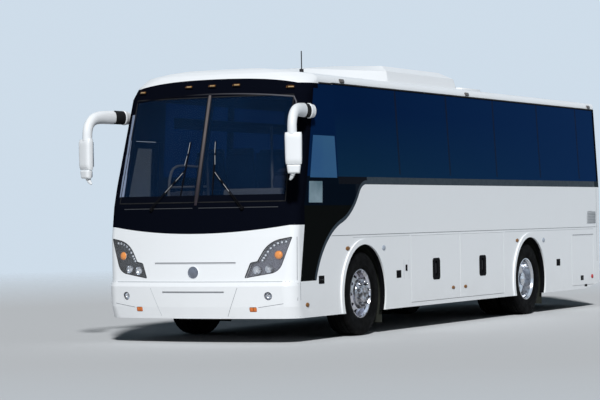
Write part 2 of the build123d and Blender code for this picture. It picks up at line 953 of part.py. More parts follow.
def stair_points():
    """Front-view outline of the platform and the steps down to the right."""
    t = floor_depth
    return (
        (floor_half, platform_top),
        (step_edges[1], platform_top),
        (step_edges[1], step_heights[1]),
        (step_edges[0], step_heights[1]),
        (step_edges[0], step_heights[0]),
        (-floor_half, step_heights[0]),
        (-floor_half, step_heights[0] - t),
        (step_edges[0] + t, step_heights[0] - t),
        (step_edges[0] + t, step_heights[1] - t),
        (step_edges[1] + t, step_heights[1] - t),
        (step_edges[1] + t, platform_top - t),
        (floor_half, platform_top - t),
    )


with BuildPart() as floor:
    add(box_between((tail_x + wall, ahead(deck_front)), (-floor_half, floor_half),
                    (floor_top - floor_depth, floor_top)))
    add(front_block(stair_points(), ahead(deck_front), ahead(stair_front)))
    add(box_between((ahead(deck_front), ahead(deck_front) + floor_depth), (-floor_half, floor_half),
                    (step_heights[0] - floor_depth, floor_top)))
    add(body_block(rear_line, wall), mode=Mode.INTERSECT)
floor.part.label = "floor"
export_step(floor.part, "parts/floor.step")

# Luggage bay between the axles: floor, end walls and ribs
bay_front = -700
bay_rear = -4920
bay_wall = 30
with BuildPart() as luggage_bay:
    add(box_between((ahead(bay_rear), ahead(bay_front)), (-floor_half, floor_half),
                    (body_bottom, body_bottom + bay_wall)))
    for place in (bay_front - bay_wall, bay_rear):
        add(box_between((ahead(place), ahead(place) + bay_wall), (-floor_half, floor_half),
                        (body_bottom, floor_top - floor_depth)))
luggage_bay.part.label = "luggage_bay"
export_step(luggage_bay.part, "parts/luggage_bay.step")

# Under the floor: two rails and cross members
rail_y = 420
rail_half = 40
rail_foot = 1080
rail_top = floor_top - floor_depth
cross_places = (300, -300, -5000, -5300, -5900, -6300, -7000, -7800, -8600)
# Wheel housings: half-round liners with an inner wall, and the mudflap behind each
housing_low = body_bottom + 60
housing_door = 420
housing_door_drop = 120
mudflap_y = (950, 1200)
mudflap_foot = 130


def housing(axle_x):
    """The liner over one wheel on the left, with its mudflap."""
    run_out = housing_radius + 2 * housing_wall
    flap_face = axle_x - sqrt(housing_radius ** 2 - (axle_height - housing_low) ** 2)
    with BuildPart() as liner:
        add(wheel_bar(axle_x, housing_radius + housing_wall, housing_inner_y, floor_half))
        add(wheel_bar(axle_x, housing_radius, housing_inner_y + housing_wall, floor_half + 1),
            mode=Mode.SUBTRACT)
        add(box_between((axle_x - run_out, axle_x + run_out), (0, wide), (-reach, housing_low)),
            mode=Mode.SUBTRACT)
        add(box_between((axle_x - housing_door, axle_x + housing_door),
                        (0, housing_inner_y + 2 * housing_wall),
                        (0, rail_foot - housing_door_drop)), mode=Mode.SUBTRACT)
        add(box_between((flap_face - housing_wall, flap_face), mudflap_y, (mudflap_foot, housing_low)))
    return liner.part


with BuildPart() as wheel_housings:
    for axle_x in (axle_front_x, axle_rear_x):
        add(housing(axle_x))
    mirror(about=Plane.XZ)
wheel_housings.part.label = "wheel_housings"
export_step(wheel_housings.part, "parts/wheel_housings.step")

# Front axle beam with an eye at each end for the kingpin
beam_half = 50
eye_radius = 52
eye_height = 110
fork_gap = 3
fork_depth = 24
with BuildPart() as front_axle:
    add(box_between((axle_front_x - beam_half, axle_front_x + beam_half), (-kingpin_y + 30, kingpin_y - 30),
                    (axle_height - 50, axle_height + 50)))
    with BuildSketch(Plane.XY.offset(axle_height - eye_height / 2)):
        with Locations((axle_front_x, kingpin_y), (axle_front_x, -kingpin_y)):
            Circle(eye_radius)
    extrude(amount=eye_height)
    with BuildSketch(Plane.XY.offset(axle_height - eye_height / 2)):
        with Locations((axle_front_x, kingpin_y), (axle_front_x, -kingpin_y)):
            Circle(kingpin_radius + pin_clearance)
    extrude(amount=eye_height, mode=Mode.SUBTRACT)
front_axle.part.label = "front_axle"
export_step(front_axle.part, "parts/front_axle.step")

# Steering knuckles: kingpin, fork, steering arm and spindle
spindle_radius = 45
spindle_end = front_wheel_y + 90
steer_arm = 180
tie_radius = 16
ball_radius = 10


def knuckle():
    """The left knuckle."""
    low = axle_height - eye_height / 2 - fork_gap - fork_depth
    with BuildPart() as arm:
        with BuildSketch(Plane.XY.offset(low)):
            with Locations((axle_front_x, kingpin_y)):
                Circle(kingpin_radius)
        extrude(amount=eye_height + 2 * (fork_gap + fork_depth))
        for foot in (low, axle_height + eye_height / 2 + fork_gap):
            with BuildSketch(Plane.XY.offset(foot)):
                with Locations((axle_front_x, kingpin_y)):
                    Circle(48)
                with Locations((axle_front_x, kingpin_y + 40)):
                    Rectangle(80, 80)
            extrude(amount=fork_depth)
        add(box_between((axle_front_x - 48, axle_front_x + 48), (kingpin_y + 56, kingpin_y + 84),
                        (axle_height - 82, axle_height + 82)))
        add(wheel_bar(axle_front_x, spindle_radius, kingpin_y + 56, spindle_end))
        add(box_between((axle_front_x - steer_arm, axle_front_x - 20), (kingpin_y - 18, kingpin_y + 18),
                        (low, low + fork_depth)))
        with BuildSketch(Plane.XY.offset(low)):
            with Locations((axle_front_x - steer_arm, kingpin_y)):
                Circle(24)
        extrude(amount=fork_depth)
        with BuildSketch(Plane.XY.offset(low)):
            with Locations((axle_front_x - steer_arm, kingpin_y)):
                Circle(ball_radius)
        extrude(amount=-6 - 2 * tie_radius)
    return arm.part


knuckle_left = knuckle()
knuckle_left.label = "knuckle_left"
export_step(knuckle_left, "parts/knuckle_left.step")
knuckle_right = mirror(knuckle(), about=Plane.XZ)
knuckle_right.label = "knuckle_right"
export_step(knuckle_right, "parts/knuckle_right.step")

# Rear axle: tube, differential and ends
with BuildPart() as rear_axle:
    add(wheel_bar(axle_rear_x, 70, -620, 620))
    add(wheel_bar(axle_rear_x, spindle_radius, -rear_outer_y - 60, rear_outer_y + 60))
    with Locations((axle_rear_x, 0, axle_height)):
        Sphere(210)
rear_axle.part.label = "rear_axle"
export_step(rear_axle.part, "parts/rear_axle.step")

# Frame rails and cross members, with the air springs that stand on the axles
bellows_radius = 70
spring_reach = 300
seat_plate = 50
with BuildPart() as chassis_frame:
    for side in (-1, 1):
        y = side * rail_y
        add(box_between((tail_x + wall, ahead(bay_rear)), (y - rail_half, y + rail_half),
                        (rail_foot, rail_top)))
        add(box_between((ahead(bay_front), ahead(deck_front)), (y - rail_half, y + rail_half),
                        (rail_foot, rail_top)))
    for place in cross_places:
        add(box_between((ahead(place) - 30, ahead(place) + 30), (-housing_inner_y, housing_inner_y),
                        (rail_foot, rail_top)))
    for x, low in (
        (axle_front_x, axle_height + beam_half),
        (axle_rear_x - spring_reach, axle_height + seat_plate),
        (axle_rear_x + spring_reach, axle_height + seat_plate),
    ):
        with BuildSketch(Plane.XY.offset(low)):
            with Locations((x, rail_y), (x, -rail_y)):
                Circle(bellows_radius)
        extrude(amount=rail_foot - low)
    for side in (-1, 1):
        y = side * rail_y
        add(box_between((axle_rear_x - 400, axle_rear_x + 400), (y - 45, y + 45),
                        (axle_height - seat_plate, axle_height + seat_plate)))
    add(rear_axle.part, mode=Mode.SUBTRACT)
chassis_frame.part.label = "chassis_frame"
export_step(chassis_frame.part, "parts/chassis_frame.step")


# Tie rod between the knuckles' arms
tie_height = axle_height - eye_height / 2 - fork_gap - fork_depth - 6 - tie_radius
with BuildPart() as tie_rod:
    with BuildSketch(Plane.XZ.offset(-kingpin_y + 20)):
        with Locations((axle_front_x - steer_arm, tie_height)):
            Circle(tie_radius)
    extrude(amount=2 * kingpin_y - 40)
    with BuildSketch(Plane.XY.offset(tie_height - tie_radius)):
        with Locations((axle_front_x - steer_arm, kingpin_y), (axle_front_x - steer_arm, -kingpin_y)):
            Circle(26)
    extrude(amount=2 * tie_radius)
    with BuildSketch(Plane.XY.offset(tie_height - tie_radius)):
        with Locations((axle_front_x - steer_arm, kingpin_y), (axle_front_x - steer_arm, -kingpin_y)):
            Circle(ball_radius + pin_clearance)
    extrude(amount=2 * tie_radius, mode=Mode.SUBTRACT)
tie_rod.part.label = "tie_rod"
export_step(tie_rod.part, "parts/tie_rod.step")

# Wheels: outlines as (distance along the axle from the rim's middle, radius)
seat_radius = 284
seat_half = 105
flange_half = rim_width / 2
tyre_half_outline = (
    (seat_half, seat_radius),
    (tyre_width / 2 - 5, 345),
    (tyre_width / 2, 420),
    (tyre_width / 2 - 14, 502),
    (100, tyre_radius),
)
barrel_outline = (
    (-flange_half, rim_radius),
    (13 - flange_half, rim_radius),
    (-seat_half, seat_radius),
    (seat_half, seat_radius),
    (flange_half - 13, rim_radius),
    (flange_half, rim_radius),
    (flange_half, rim_radius - 12),
    (96, 270),
    (-96, 270),
    (-flange_half, rim_radius - 12),
)
disc_outline = ((38, 272), (132, 168), (132, 60), (118, 60), (118, 162), (20, 272))
bearing_clearance = 0.4
hub_bore = spindle_radius + bearing_clearance
hub_radius = 105
cap_radius = 88
drum_radius = 205
hand_holes = 10
hand_hole_radius = 26
hand_hole_circle = 222


def turned(outline, y, way):
    """A ring from an outline, centred on a value of y; way is 1 or -1 for the side it faces."""
    with BuildPart() as ring:
        with BuildSketch(Plane.YZ):
            with BuildLine():
                Polyline(*[(y + way * a, r) for a, r in outline], close=True)
            make_face()
        revolve(axis=Axis.Y)
    return ring.part


def tyre(y):
    """One tyre at the origin's axle line."""
    left = [(-a, r) for a, r in reversed(tyre_half_outline)]
    return turned(list(tyre_half_outline) + left, y, 1)


def hand_hole_bars(y_from, y_to):
    """Bars for the ring of hand holes in a disc."""
    with BuildPart() as bars:
        with BuildSketch(Plane.XZ.offset(-y_from)):
            with PolarLocations(hand_hole_circle, hand_holes):
                Circle(hand_hole_radius)
        extrude(amount=y_from - y_to)
    return bars.part


def hub_outline(inner, outer, cap_end, cap_wall):
    """A hub's half section with a blind bore: from its inner end to its outer end and cap."""
    return (
        (inner, hub_bore),
        (inner, hub_radius),
        (outer, hub_radius),
        (outer, cap_radius),
        (cap_end - 12, cap_radius),
        (cap_end, cap_radius - 22),
        (cap_end, 0),
        (cap_end - cap_wall, 0),
        (cap_end - cap_wall, hub_bore),
    )


def front_rim():
    """The left front rim, hub and drum about the origin's axle line."""
    y = front_wheel_y
    with BuildPart() as wheel:
        add(turned(barrel_outline, y, 1))
        add(turned(disc_outline, y, 1))
        add(hand_hole_bars(y + 10, y + 140), mode=Mode.SUBTRACT)
        add(turned(hub_outline(-20, 134, 158, 60), y, 1))
        add(turned(((-62, hub_bore), (-62, drum_radius), (-20, drum_radius), (-20, hub_bore)), y, 1))
    return wheel.part


def rear_rims():
    """The left pair of rear rims on one hub about the origin's axle line."""
    hub_start = rear_inner_y + 60 - rear_outer_y
    with BuildPart() as pair:
        for y, way in ((rear_outer_y, -1), (rear_inner_y, 1)):
            add(turned(barrel_outline, y, 1))
            add(turned(disc_outline, y, way))
        add(hand_hole_bars(rear_inner_y + 10, rear_outer_y - 10), mode=Mode.SUBTRACT)
        add(turned(hub_outline(hub_start, -100, 78, 16), rear_outer_y, 1))
        add(turned(((-208, hub_bore), (-208, 150), (-132, 150), (-132, hub_bore)), rear_outer_y, 1))
    return pair.part


def left_and_right(shape, name, x):
    """Writes a wheel part at its axle on the left, and its mirror image on the right."""
    left = Pos(x, 0, axle_height) * shape
    left.label = name + "_left"
    export_step(left, "parts/" + name + "_left.step")
    right = mirror(Pos(x, 0, axle_height) * shape, about=Plane.XZ)
    right.label = name + "_right"
    export_step(right, "parts/" + name + "_right.step")


with BuildPart() as rear_tyres:
    add(tyre(rear_outer_y))
    add(tyre(rear_inner_y))
left_and_right(tyre(front_wheel_y), "front_tyre", axle_front_x)
left_and_right(front_rim(), "front_rim", axle_front_x)
left_and_right(rear_tyres.part, "rear_tyres", axle_rear_x)
left_and_right(rear_rims(), "rear_rims", axle_rear_x)

# Engine block at the rear, between the rails
engine_x = (-8500, -7250)
engine_z = (480, rail_foot)
engine_half = rail_y - rail_half
with BuildPart() as engine:
    add(box_between((ahead(engine_x[0]), ahead(engine_x[1])), (-engine_half, engine_half), engine_z))
engine.part.label = "engine"
export_step(engine.part, "parts/engine.step")

# Seats: pairs each side of the aisle, as distances behind the cushion's front and above the floor
seat_pitch = 800
seat_rows = 11
first_row = 330
seat_y = (305, 1165)
seat_outline = (
    (0, 345),
    (0, 440),
    (30, 470),
    (400, 455),
    (520, 1085),
    (560, 1130),
    (610, 1110),
    (500, 420),
    (440, 350),
)
leg_outline = ((120, 0), (150, 350), (330, 350), (360, 0))


def seat(front_x, base, y):
    """A seat between two values of y, with its leg, standing on a base height."""
    middle = (y[0] + y[1]) / 2
    points = [(front_x - back, base + up) for back, up in seat_outline]
    leg = [(front_x - back, base + up) for back, up in leg_outline]
    with BuildPart() as chair:
        add(side_block(points, y[0], y[1]))
        add(side_block(leg, middle - 110, middle + 110))
    return chair.part


driver_y = 700
driver_half = 240
driver_front = 1325
with BuildPart() as seats:
    for row in range(seat_rows):
        add(seat(ahead(first_row - row * seat_pitch), floor_top, seat_y))
    mirror(about=Plane.XZ)
    add(seat(ahead(driver_front), platform_top, (driver_y - driver_half, driver_y + driver_half)))
seats.part.label = "seats"
export_step(seats.part, "parts/seats.step")

# Dashboard with the steering column, and the steering wheel that turns on it
dash_y = (-620, 1160)
dash_points = (
    (ahead(1500), platform_top),
    (ahead(1500), 1430),
    (ahead(1430), 1530),
    (ahead(1520), 1625),
    (ahead(1740), 1660),
    (ahead(1930), 1600),
    (ahead(1930), platform_top),
)
wheel_hub = Vector(ahead(1310), driver_y, 1660)
column_way = Vector(-0.42, 0, 0.907)
column_radius = 32
column_reach = 480
wheel_ring = 225
wheel_tube = 15
column_plane = Plane(origin=wheel_hub, x_dir=(0, 1, 0), z_dir=column_way)
with BuildPart() as dashboard:
    add(side_block(dash_points, dash_y[0], dash_y[1]))
    add(body_block(nose_line, wall), mode=Mode.INTERSECT)
    with BuildSketch(column_plane.offset(-40)):
        Circle(column_radius)
    extrude(amount=-column_reach)
dashboard.part.label = "dashboard"
export_step(dashboard.part, "parts/dashboard.step")

with BuildPart() as steering_wheel:
    with BuildSketch(Plane(origin=wheel_hub, x_dir=(0, 1, 0), z_dir=column_plane.x_dir.cross(column_way))):
        with Locations((wheel_ring, 0)):
            RegularPolygon(wheel_tube, 6)
    revolve(axis=Axis(wheel_hub, column_way))
    with BuildSketch(column_plane.offset(-14)):
        Circle(48)
        for turn in (0, 120, 240):
            with Locations(Rot(0, 0, turn) * Pos(wheel_ring / 2, 0)):
                Rectangle(wheel_ring, 34)
    extrude(amount=12)
    with BuildSketch(column_plane.offset(-39)):
        Circle(30)
    extrude(amount=30)
steering_wheel.part.label = "steering_wheel"
export_step(steering_wheel.part, "parts/steering_wheel.step")

# Parcel racks along both sides over the seats
rack_x = (-8500, 400)
with BuildPart() as parcel_racks:
    rack_points = (
        (half_width(2600) - wall, 2600),
        (half_width(2740) - wall, 2740),
        (880, 2710),
        (850, 2670),
        (870, 2630),
    )
    add(front_block(rack_points, ahead(rack_x[0]), ahead(rack_x[1])))
    mirror(about=Plane.XZ)
parcel_racks.part.label = "parcel_racks"
export_step(parcel_racks.part, "parts/parcel_racks.step")

# Air-conditioning pod on the roof: a ramp at its front, rounded shoulders and a round-cornered rear
pod_foot = 3100
pod_sections = (
    # height, front, half width there, shoulder, half width, rear, corner radius
    (pod_foot, 450, 330, -1500, 950, -3930, 160),
    (3335, -350, 330, -1540, 900, -3880, 160),
    (3412, -1250, 320, -1620, 800, -3560, 120),
)


def pod_section(height, front, front_half, shoulder, half, rear, corner):
    """The pod's plan at a height."""
    front_x, shoulder_x, rear_x = ahead(front), ahead(shoulder), ahead(rear)
    bend = corner * (1 - sqrt(0.5))
    with BuildSketch(Plane.XY.offset(height)) as section:
        with BuildLine():
            Polyline((rear_x + corner, half), (shoulder_x, half), (front_x, front_half),
                     (front_x, -front_half), (shoulder_x, -half), (rear_x + corner, -half))
            ThreePointArc((rear_x + corner, -half), (rear_x + bend, bend - half), (rear_x, corner - half))
            Line((rear_x, corner - half), (rear_x, half - corner))
            ThreePointArc((rear_x, half - corner), (rear_x + bend, half - bend), (rear_x + corner, half))
        make_face()
    return section.sketch


roof_solid = roof_bar(tail_x, nose_x, 0)
with BuildPart() as roof_pod:
    loft([pod_section(*row) for row in pod_sections], ruled=True)
    add(roof_solid, mode=Mode.SUBTRACT)
roof_pod.part.label = "roof_pod"
export_step(roof_pod.part, "parts/roof_pod.step")

mast_x = 0
mast_y = 450
mast_top = 3530
with BuildPart() as antenna:
    with BuildSketch(Plane.XY.offset(pod_foot)):
        with Locations((ahead(mast_x), mast_y)):
            Circle(26)
    extrude(amount=crown + 30 - pod_foot)
    with BuildSketch(Plane.XY.offset(crown)):
        with Locations((ahead(mast_x), mast_y)):
            Circle(7)
    extrude(amount=mast_top - crown)
    add(roof_solid, mode=Mode.SUBTRACT)
antenna.part.label = "antenna"
export_step(antenna.part, "parts/antenna.step")

# Mirrors: a bellows on the pillar, an arm forwards and down, the head and a small wide-view head
foot_x = 1285
bellows_x = (1395, 1580)
mirror_height = 2708
mirror_y = 1282
head_y = 1396
head_top = 2455
head_low = 2090
head_width = 205
head_depth = 110
head_turn = 20
arm_half = 42
arm_round = 38
arm_root_half = 84
arm_end_half = 55
arm_start = -12
foot_radius = 90
rib_radius = 84
rib_gap_radius = 74
ribs = 6
lobe_low = 1990
lobe_size = (90, 150)


def mirror_block(size, low, high, corner):
    """An upright block with rounded corners, turned as the mirror's heads are."""
    with BuildPart() as block:
        with BuildSketch(Plane.XY.offset(low)):
            RectangleRounded(*size, corner, rotation=head_turn)
        extrude(amount=high - low)
    return block.part


def arm_bar(x_from, x_to, radius):
    """A round bar along the bus at the mirror's foot."""
    with BuildPart() as bar:
        with BuildSketch(Plane.YZ.offset(ahead(x_from))):
            with Locations((mirror_y, mirror_height)):
                Circle(radius)
        extrude(amount=x_to - x_from)
    return bar.part


head_block = mirror_block((head_depth, head_width), head_low, head_top, 34)
head_x = nose_x + mirror_reach - head_block.bounding_box().max.X
arm_way = Vector(head_x - ahead(bellows_x[1]), head_y - mirror_y, 0)
arm_plane = Plane(
    origin=(ahead(bellows_x[1]), mirror_y, 0), x_dir=arm_way, z_dir=arm_way.cross(Vector(0, 0, 1)))
arm_corners = (
    # distance from the bellows, height, corner radius
    (arm_start, mirror_height - arm_root_half, 50),
    (arm_start, mirror_height + arm_root_half, 50),
    (arm_way.length + arm_end_half, mirror_height + 54, 230),
    (arm_way.length + arm_end_half, head_top - 30, 45),
    (arm_way.length - arm_end_half, head_top - 30, 45),
    (arm_way.length - arm_end_half, mirror_height - 62, 90),
)
with BuildPart() as mirror_arm:
    with BuildSketch(arm_plane):
        with BuildLine():
            FilletPolyline(
                *[(along, height) for along, height, radius in arm_corners],
                radius=[radius for along, height, radius in arm_corners],
                close=True,
            )
        make_face()
    extrude(amount=arm_half, both=True)
    fillet(mirror_arm.edges().filter_by(arm_plane), radius=arm_round)

rib_pitch = (bellows_x[1] - bellows_x[0]) / ribs
with BuildPart() as mirrors:
    add(mirror_arm.part)
    add(arm_bar(foot_x, bellows_x[0], foot_radius))
    add(arm_bar(bellows_x[0], bellows_x[1] + 10, rib_gap_radius))
    for rib in range(ribs):
        rib_start = bellows_x[0] + rib * rib_pitch
        add(arm_bar(rib_start, rib_start + rib_pitch * 0.6, rib_radius))
    add(Pos(head_x, head_y, 0) * head_block)
    add(Pos(head_x, head_y, 0) * mirror_block(lobe_size, lobe_low, head_low, 30))
    add(side_limit, mode=Mode.SUBTRACT)
    mirror(about=Plane.XZ)
mirrors.part.label = "mirrors"
export_step(mirrors.part, "parts/mirrors.step")

# Wipers parked on the glass: arms and blades that follow the screen
wiper_pivot = (610, 1580)
wiper_tip = (200, 2010)
wiper_points = (
    (wiper_pivot[0] + 16, wiper_pivot[1]),
    (wiper_pivot[0] - 16, wiper_pivot[1] - 12),
    (wiper_tip[0] - 10, wiper_tip[1] - 6),
    (wiper_tip[0] + 10, wiper_tip[1] + 6),
)
blade_points = ((190, 1700), (210, 1700), (210, 2330), (190, 2330))
with BuildPart() as wiper_blank:
    add(front_block(wiper_points, screen_back, far_x))
    add(front_block(blade_points, screen_back, far_x))
with BuildPart() as wiper_boss:
    with BuildSketch(Plane.YZ.offset(screen_back)):
        with Locations(wiper_pivot):
            Circle(24)
    extrude(amount=far_x - screen_back)
with BuildPart() as wipers:
    add(body_shell(nose_line, -34, -14))
    add(wiper_blank.part, mode=Mode.INTERSECT)
    add(front_zone, mode=Mode.INTERSECT)
with BuildPart() as wiper_feet:
    add(body_shell(nose_line, -34, 0))
    add(wiper_boss.part, mode=Mode.INTERSECT)
    add(front_zone, mode=Mode.INTERSECT)
with BuildPart() as wiper_pair:
    add(wipers.part)
    add(wiper_feet.part)
    mirror(about=Plane.XZ)
wiper_pair.part.label = "wipers"
export_step(wiper_pair.part, "parts/wipers.step")

# Amber marker lamps: roof row, lower front pair and the sides
roof_markers = ((0, 3045), (324, 3045), (1008, 3003))
with BuildPart() as marker_lamps:
    add(body_shell(bumper_line, 6, bumper_wall))
    add(front_zone, mode=Mode.INTERSECT)
    add(marker_bars.part, mode=Mode.INTERSECT)
with BuildPart() as roof_lamp_bars:
    with BuildSketch(Plane.YZ.offset(screen_back)):
        for y, z in roof_markers:
            with Locations((y, z), (-y, z)):
                SlotOverall(92, 36)
    extrude(amount=far_x - screen_back)
with BuildPart() as roof_lamps:
    add(body_shell(nose_line, -16, 0))
    add(roof_lamp_bars.part, mode=Mode.INTERSECT)
    add(front_zone, mode=Mode.INTERSECT)
# Side markers: places ahead of the front axle and heights; one on the left only, the rest on both sides
left_marker = ((1553, 441),)
side_markers = ((451, 1076), (-584, 1064), (-5126, 1078), (-6175, 1068))
side_marker_radius = 24
side_marker_proud = 8


def side_marker_discs(places):
    """Round markers on the left wall."""
    with BuildPart() as discs:
        with BuildSketch(Plane.XZ.offset(-body_half_width)):
            with Locations(*[(ahead(x), z) for x, z in places]):
                Circle(side_marker_radius)
        extrude(amount=-side_marker_proud)
    return discs.part


with BuildPart() as side_pairs:
    add(side_marker_discs(side_markers))
    mirror(about=Plane.XZ)
with BuildPart() as all_markers:
    add(marker_lamps.part)
    add(roof_lamps.part)
    add(side_pairs.part)
    add(side_marker_discs(left_marker))
all_markers.part.label = "marker_lamps"
export_step(all_markers.part, "parts/marker_lamps.step")
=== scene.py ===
"""Looks of the coach bus: finishes, glass, lamps, wheels, mirrors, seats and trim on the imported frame."""
import json
from math import cos, hypot, pi, radians, sin, tan

import bmesh
import bpy
from mathutils import Matrix, Vector
from mathutils.bvhtree import BVHTree


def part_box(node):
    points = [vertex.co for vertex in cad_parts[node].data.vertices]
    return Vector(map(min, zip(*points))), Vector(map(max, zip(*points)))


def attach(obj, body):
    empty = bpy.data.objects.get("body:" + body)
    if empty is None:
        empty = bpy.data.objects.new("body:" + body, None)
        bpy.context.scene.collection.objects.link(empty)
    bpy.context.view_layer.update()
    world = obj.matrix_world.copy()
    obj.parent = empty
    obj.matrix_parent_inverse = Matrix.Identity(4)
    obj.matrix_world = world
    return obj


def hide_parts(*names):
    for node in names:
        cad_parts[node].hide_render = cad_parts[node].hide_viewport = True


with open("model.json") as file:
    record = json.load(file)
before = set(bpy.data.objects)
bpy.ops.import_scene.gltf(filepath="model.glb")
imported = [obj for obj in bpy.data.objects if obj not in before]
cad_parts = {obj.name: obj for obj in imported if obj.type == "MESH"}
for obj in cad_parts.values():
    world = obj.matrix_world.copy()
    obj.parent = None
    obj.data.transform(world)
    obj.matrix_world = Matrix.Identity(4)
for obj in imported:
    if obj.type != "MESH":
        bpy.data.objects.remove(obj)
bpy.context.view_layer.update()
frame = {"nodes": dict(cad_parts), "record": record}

nodes = frame["nodes"]


def middle(node):
    """The middle of a CAD node's box."""
    low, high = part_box(node)
    return (low + high) / 2


# Places that the frame gives
axle_front_x = middle("front_axle").x
axle_rear_x = middle("rear_axle").x
axle_height = middle("rear_axle").z
tail_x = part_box("rear_wall")[0].x
half_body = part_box("luggage_flap_front_left")[1].y
front_wheel_y = middle("front_tyre_left").y
tyre_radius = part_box("front_tyre_left")[1].z - axle_height
tyre_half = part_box("front_tyre_left")[1].y - front_wheel_y
rear_inner_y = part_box("rear_tyres_left")[0].y + tyre_half
rear_outer_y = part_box("rear_tyres_left")[1].y - tyre_half
floor_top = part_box("floor")[1].z


def ahead(distance):
    """X of a place given in metres ahead of the front axle."""
    return axle_front_x + distance


# Camera: place relative to the front axle, and its aim
camera_ahead = 24.962
camera_left = 13.094
camera_height = 1.482
camera_yaw = radians(206.956)
camera_pitch = radians(0.398)
camera_roll = radians(-0.9015)
camera_lens = 135.04


def add_camera():
    forward = Vector((
        cos(camera_yaw) * cos(camera_pitch),
        sin(camera_yaw) * cos(camera_pitch),
        sin(camera_pitch),
    ))
    right = forward.cross(Vector((0, 0, 1))).normalized()
    up = right.cross(forward)
    tilted_right = right * cos(camera_roll) + up * sin(camera_roll)
    tilted_up = up * cos(camera_roll) - right * sin(camera_roll)
    data = bpy.data.cameras.new("camera")
    data.lens = camera_lens
    data.clip_end = 500
    camera = bpy.data.objects.new("camera", data)
    bpy.context.scene.collection.objects.link(camera)
    turn = Matrix((tilted_right, tilted_up, -forward)).transposed().to_4x4()
    place = Vector((ahead(camera_ahead), camera_left, camera_height))
    camera.matrix_world = Matrix.Translation(place) @ turn
    bpy.context.scene.camera = camera


def new_material(name, slot, color, rough, metal=0.0, **sockets):
    """A Principled material; the slot argument is not used; other sockets have underscores in their names."""
    made = bpy.data.materials.new(name)
    made.use_nodes = True
    shader = shader_of(made)
    shader.inputs["Base Color"].default_value = (*color, 1)
    shader.inputs["Roughness"].default_value = rough
    shader.inputs["Metallic"].default_value = metal
    for socket, value in sockets.items():
        shader.inputs[socket.replace("_", " ")].default_value = value
    return made


def shader_of(made):
    return made.node_tree.nodes["Principled BSDF"]


def coordinates(tree):
    return tree.nodes.new("ShaderNodeTexCoord").outputs["Object"]


def noise(tree, scale, detail=4.0, stretch=None):
    """A noise value in the object's own space, stretched along its axes if asked."""
    texture = tree.nodes.new("ShaderNodeTexNoise")
    texture.inputs["Scale"].default_value = scale
    texture.inputs["Detail"].default_value = detail
    source = coordinates(tree)
    if stretch:
        mapping = tree.nodes.new("ShaderNodeMapping")
        mapping.inputs["Scale"].default_value = stretch
        tree.links.new(source, mapping.inputs["Vector"])
        source = mapping.outputs["Vector"]
    tree.links.new(source, texture.inputs["Vector"])
    return texture.outputs["Fac"]


def spread(tree, value, low, high, start=0.35, end=0.65):
    """Maps a value's range to another range."""
    node = tree.nodes.new("ShaderNodeMapRange")
    for socket, number in zip(("From Min", "From Max", "To Min", "To Max"), (start, end, low, high)):
        node.inputs[socket].default_value = number
    tree.links.new(value, node.inputs["Value"])
    return node.outputs["Result"]


def combine(tree, operation, first, second):
    """A Math node of two values, where a number may stand for either."""
    node = tree.nodes.new("ShaderNodeMath")
    node.operation = operation
    for socket, value in zip(node.inputs, (first, second)):
        if isinstance(value, (int, float)):
            socket.default_value = value
        else:
            tree.links.new(value, socket)
    return node.outputs[0]


def mix_color(tree, factor, first, second):
    """Mixes two colours, each a tuple or another node's colour."""
    node = tree.nodes.new("ShaderNodeMix")
    node.data_type = "RGBA"
    tree.links.new(factor, node.inputs["Factor"])
    for socket, value in ((6, first), (7, second)):
        if isinstance(value, tuple):
            node.inputs[socket].default_value = (*value, 1)
        else:
            tree.links.new(value, node.inputs[socket])
    return node.outputs[2]


def base_color(made):
    """A material's present colour, as a tuple or as the node that gives it."""
    base = shader_of(made).inputs["Base Color"]
    return base.links[0].from_socket if base.links else tuple(base.default_value)[:3]


def tint(made, factor, color):
    """Mixes a colour over a material's present one by a factor."""
    mixed = mix_color(made.node_tree, factor, base_color(made), color)
    made.node_tree.links.new(mixed, shader_of(made).inputs["Base Color"])
    return made


def vary_color(made, scale, other, low=0.0, high=1.0, stretch=None):
    """Clouds another colour into a material's colour."""
    tree = made.node_tree
    return tint(made, spread(tree, noise(tree, scale, stretch=stretch), low, high), other)


def vary_rough(made, scale, low, high, stretch=None):
    tree = made.node_tree
    cloud = noise(tree, scale, stretch=stretch)
    tree.links.new(spread(tree, cloud, low, high), shader_of(made).inputs["Roughness"])
    return made


def bump_from(made, height, depth, strength=1.0):
    """Relief from a height value; depth is in metres."""
    tree = made.node_tree
    bump = tree.nodes.new("ShaderNodeBump")
    bump.inputs["Distance"].default_value = depth
    bump.inputs["Strength"].default_value = strength
    tree.links.new(height, bump.inputs["Height"])
    normal = shader_of(made).inputs["Normal"]
    if normal.links:
        tree.links.new(normal.links[0].from_socket, bump.inputs["Normal"])
    tree.links.new(bump.outputs["Normal"], normal)
    return made


def add_bump(made, scale, depth, strength=1.0, detail=4.0, stretch=None):
    """Fine relief from noise."""
    return bump_from(made, noise(made.node_tree, scale, detail, stretch), depth, strength)


def axis_value(tree, axis):
    """One of the object's own coordinates."""
    split = tree.nodes.new("ShaderNodeSeparateXYZ")
    tree.links.new(coordinates(tree), split.inputs["Vector"])
    return split.outputs[axis]


def add_film(made, color, top, amount):
    """Road film that clouds the colour from the ground up to a height."""
    tree = made.node_tree
    low_down = spread(tree, axis_value(tree, "Z"), amount, 0.0, 0.25, top)
    film = combine(tree, "MULTIPLY", low_down, spread(tree, noise(tree, 3.0, 6.0), 0.3, 1.0))
    return tint(made, film, color)


def by_height(made, steps):
    """Paints a material's colour in bands: steps are (height from which it holds, colour)."""
    tree = made.node_tree
    for height, color in steps:
        tint(made, combine(tree, "GREATER_THAN", axis_value(tree, "Z"), height), color)
    return made


